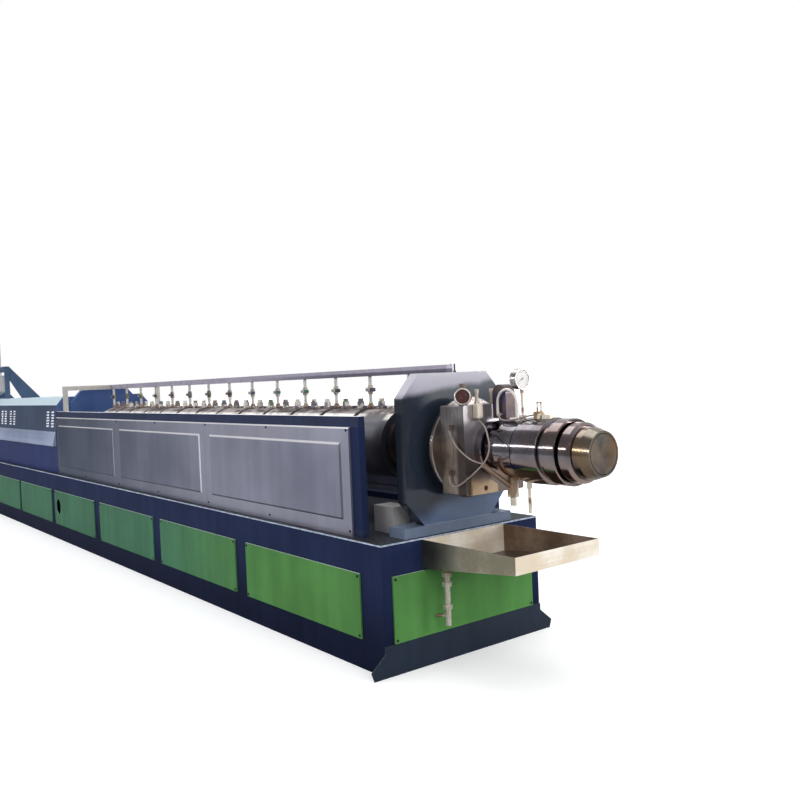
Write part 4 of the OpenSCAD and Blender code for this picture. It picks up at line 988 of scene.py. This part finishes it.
def coupling_face(red, pale):
    """Pale rim and dark red core of the coupling on top of the screen changer."""
    radius, length = 0.044, 0.060
    share_along, across = 0.69, -0.150
    front = length/2
    place = at(CHANGER_LOW.x + (CHANGER_HIGH.x - CHANGER_LOW.x)*share_along, across,
        CHANGER_HIGH.z + radius, turn=-45) @ Matrix.Rotation(QUARTER, 4, "Y")
    rim = start_piece("torus", "coupling_rim", major_segments=48, minor_segments=10,
        major_radius=radius*0.90, minor_radius=radius*0.085, location=(0, 0, front - 0.001))
    pick_faces(rim, lambda middle, normal: middle.z > front)
    bpy.ops.transform.resize(value=(0.97, 0.97, 1), center_override=(0, 0, front))
    set_places(rim, [place])
    finish_piece(rim, pale, smooth=60)
    core = start_piece("cylinder", "coupling_core", vertices=40, radius=radius*0.78,
        depth=length*0.22, location=(0, 0, front - length*0.19))
    pick_faces(core, lambda middle, normal: normal.z > 0.9)
    bpy.ops.mesh.inset(thickness=radius*0.12, depth=-0.002)
    bpy.ops.mesh.inset(thickness=radius*0.26, depth=0)
    push(0, 0, 0.005)
    bpy.ops.mesh.inset(thickness=radius*0.10, depth=0)
    push(0, 0, -0.004)
    soften(core, 0.0008, segments=2)
    set_places(core, [place])
    finish_piece(core, red)


def add_pieces():
    """Models the small fittings that the frame leaves to this script."""
    black = iron_black("screw_black_steel", (0.020, 0.020, 0.022), (0.05, 0.04, 0.035))
    panel_screws(black)
    guard_screws(black)
    hood_screws(black)
    # The louvre blades are painted near white, as painted glints.
    hood_louvres(sheet_steel("louvre_sheet_steel", (0.85, 0.88, 0.92), (0.66, 0.70, 0.76),
        metal=0.1, roughness=0.45))
    gauge_face()
    lever_grips()
    pipe_unions(pipe_zinc("union_brass", (0.34, 0.25, 0.17), (0.14, 0.09, 0.07),
        roughness=0.34, metal=0.7))
    yoke_studs(black)
    jacket_clamps(pipe_zinc("clamp_stained_steel", (0.36, 0.30, 0.28), (0.075, 0.052, 0.048),
        metal=0.6, tints=((0.13, 0.10, 0.16), (0.60, 0.55, 0.52)), spread=1.7))
    coupling_face(flat_plastic("coupling_dark_red", (0.075, 0.018, 0.020),
            roughness=0.18, coat=0.4),
        pipe_zinc("coupling_pale_rim", (0.84, 0.80, 0.76), (0.56, 0.50, 0.46),
            roughness=0.22))


# Studio

def set_camera():
    """Puts the camera at the photo's viewing angle."""
    data = bpy.data.cameras.new("camera")
    data.lens = LENS
    data.sensor_width = SENSOR
    data.clip_start = 0.05
    data.clip_end = 200
    camera = bpy.data.objects.new("camera", data)
    bpy.context.scene.collection.objects.link(camera)
    turn = Matrix.Rotation(math.radians(CAMERA_TURN), 4, "Z")
    tilt = Matrix.Rotation(math.radians(90 - CAMERA_DOWN), 4, "X")
    roll = Matrix.Rotation(math.radians(-CAMERA_ROLL), 4, "Z")
    camera.matrix_world = Matrix.Translation(CAMERA_AT) @ turn @ tilt @ roll
    bpy.context.scene.camera = camera


def soft_light(name, place, aim, size, power):
    """A rectangular studio lamp that points at a spot on the machine."""
    data = bpy.data.lights.new(name, "AREA")
    data.shape = "RECTANGLE"
    data.size, data.size_y = size
    data.energy = power
    lamp = bpy.data.objects.new(name, data)
    bpy.context.scene.collection.objects.link(lamp)
    lamp.location = place
    way = Vector(aim) - Vector(place)
    lamp.rotation_euler = way.to_track_quat("-Z", "Y").to_euler()


def set_floor():
    """A pale floor that runs into the white background and keeps the machine's shadow."""
    bpy.ops.object.select_all(action="DESELECT")
    bpy.ops.mesh.primitive_plane_add(size=160)
    floor = bpy.context.object
    floor.name = "studio_floor"
    paint = Paint("studio_floor", Roughness=0.9, Specular_IOR_Level=0.1,
        Emission_Strength=1.0)
    seen = paint.add("LightPath", output="Is Camera Ray")
    along, across, _ = paint.axes()
    # The floor glows less in an oval round the machine, so that the shadow shows
    middle_back, oval = 4.5, 0.12
    from_middle = along + middle_back
    away = (from_middle*from_middle*oval + across*across)**0.5
    glow = paint.mix(paint.band(away, 2.0, 5.5), (0.34, 0.34, 0.34), (1, 1, 1))
    # No glow inside the base, which would show through the cable slot
    inside = 0.02
    low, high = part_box("end_rails")
    half = high.y - inside
    within_sides = across*across < half*half
    within_ends = (along < high.x - inside)*(along > low.x + inside)
    glow = paint.mix(within_sides*within_ends, glow, (0, 0, 0))
    pale = paint.mix(paint.noise(0.6), (0.80, 0.80, 0.80), (0.82, 0.82, 0.82))
    floor.data.materials.append(paint.give(
        Base_Color=paint.mix(seen, (0.50, 0.50, 0.50), pale),
        Emission_Color=paint.mix(seen, (0, 0, 0), glow)))


def set_world():
    """Soft light from all round, a white background, and a room that mirrors white.

    The part of the room on the operator's side mirrors dimmer.
    """
    world = bpy.data.worlds.new("studio")
    bpy.context.scene.world = world
    world.use_nodes = True
    room = Nodes(world.node_tree)

    def ray(kind):
        return room.add("LightPath", output=kind)

    def light(colour, strength):
        return room.add("Background", inputs={"Color": colour, "Strength": strength})

    seen = room.add("Math", {"operation": "MAXIMUM"}, {
        0: ray("Is Camera Ray"), 1: ray("Is Transmission Ray")})
    _, across, _ = room.parts(room.add("TexCoord", output="Generated"))
    bright = room.add("MapRange", inputs={"Value": across, "From Min": -0.35,
        "From Max": 0.35, "To Min": ROOM_DIM, "To Max": 1.0})
    lit = room.add("MixShader", inputs={0: ray("Is Glossy Ray"),
        1: light((0.93, 0.96, 1.0), WORLD_LIGHT), 2: light((1, 1, 1), bright)})
    both = room.add("MixShader", inputs={0: seen, 1: lit, 2: light((1, 1, 1), 1.0)})
    room.feed(room.tree.nodes["World Output"].inputs[0], both)


def set_lights():
    """Lamps over the machine, along the operator's side and before the front end."""
    soft_light("side_window", place=(-5, -7, 3.3), aim=(-4, 0, 1.0), size=(14, 0.35),
        power=330)
    soft_light("roof_light", place=(-4, 1, 7.5), aim=(-4, 0, 0), size=(14, 5), power=420)
    soft_light("front_window", place=(7, -1.5, 3.2), aim=(0, 0, 0.8), size=(4, 2.4),
        power=180)
    soft_light("end_window", place=(8, 7.4, 2.9), aim=(0, 0, 1.2), size=(3, 2.5),
        power=330)


bpy.context.scene.view_settings.view_transform = "Standard"
set_camera()
coat_base()
coat_yokes()
coat_guard()
coat_drive_and_feed()
coat_barrel()
coat_head()
add_pieces()
set_floor()
set_world()
set_lights()
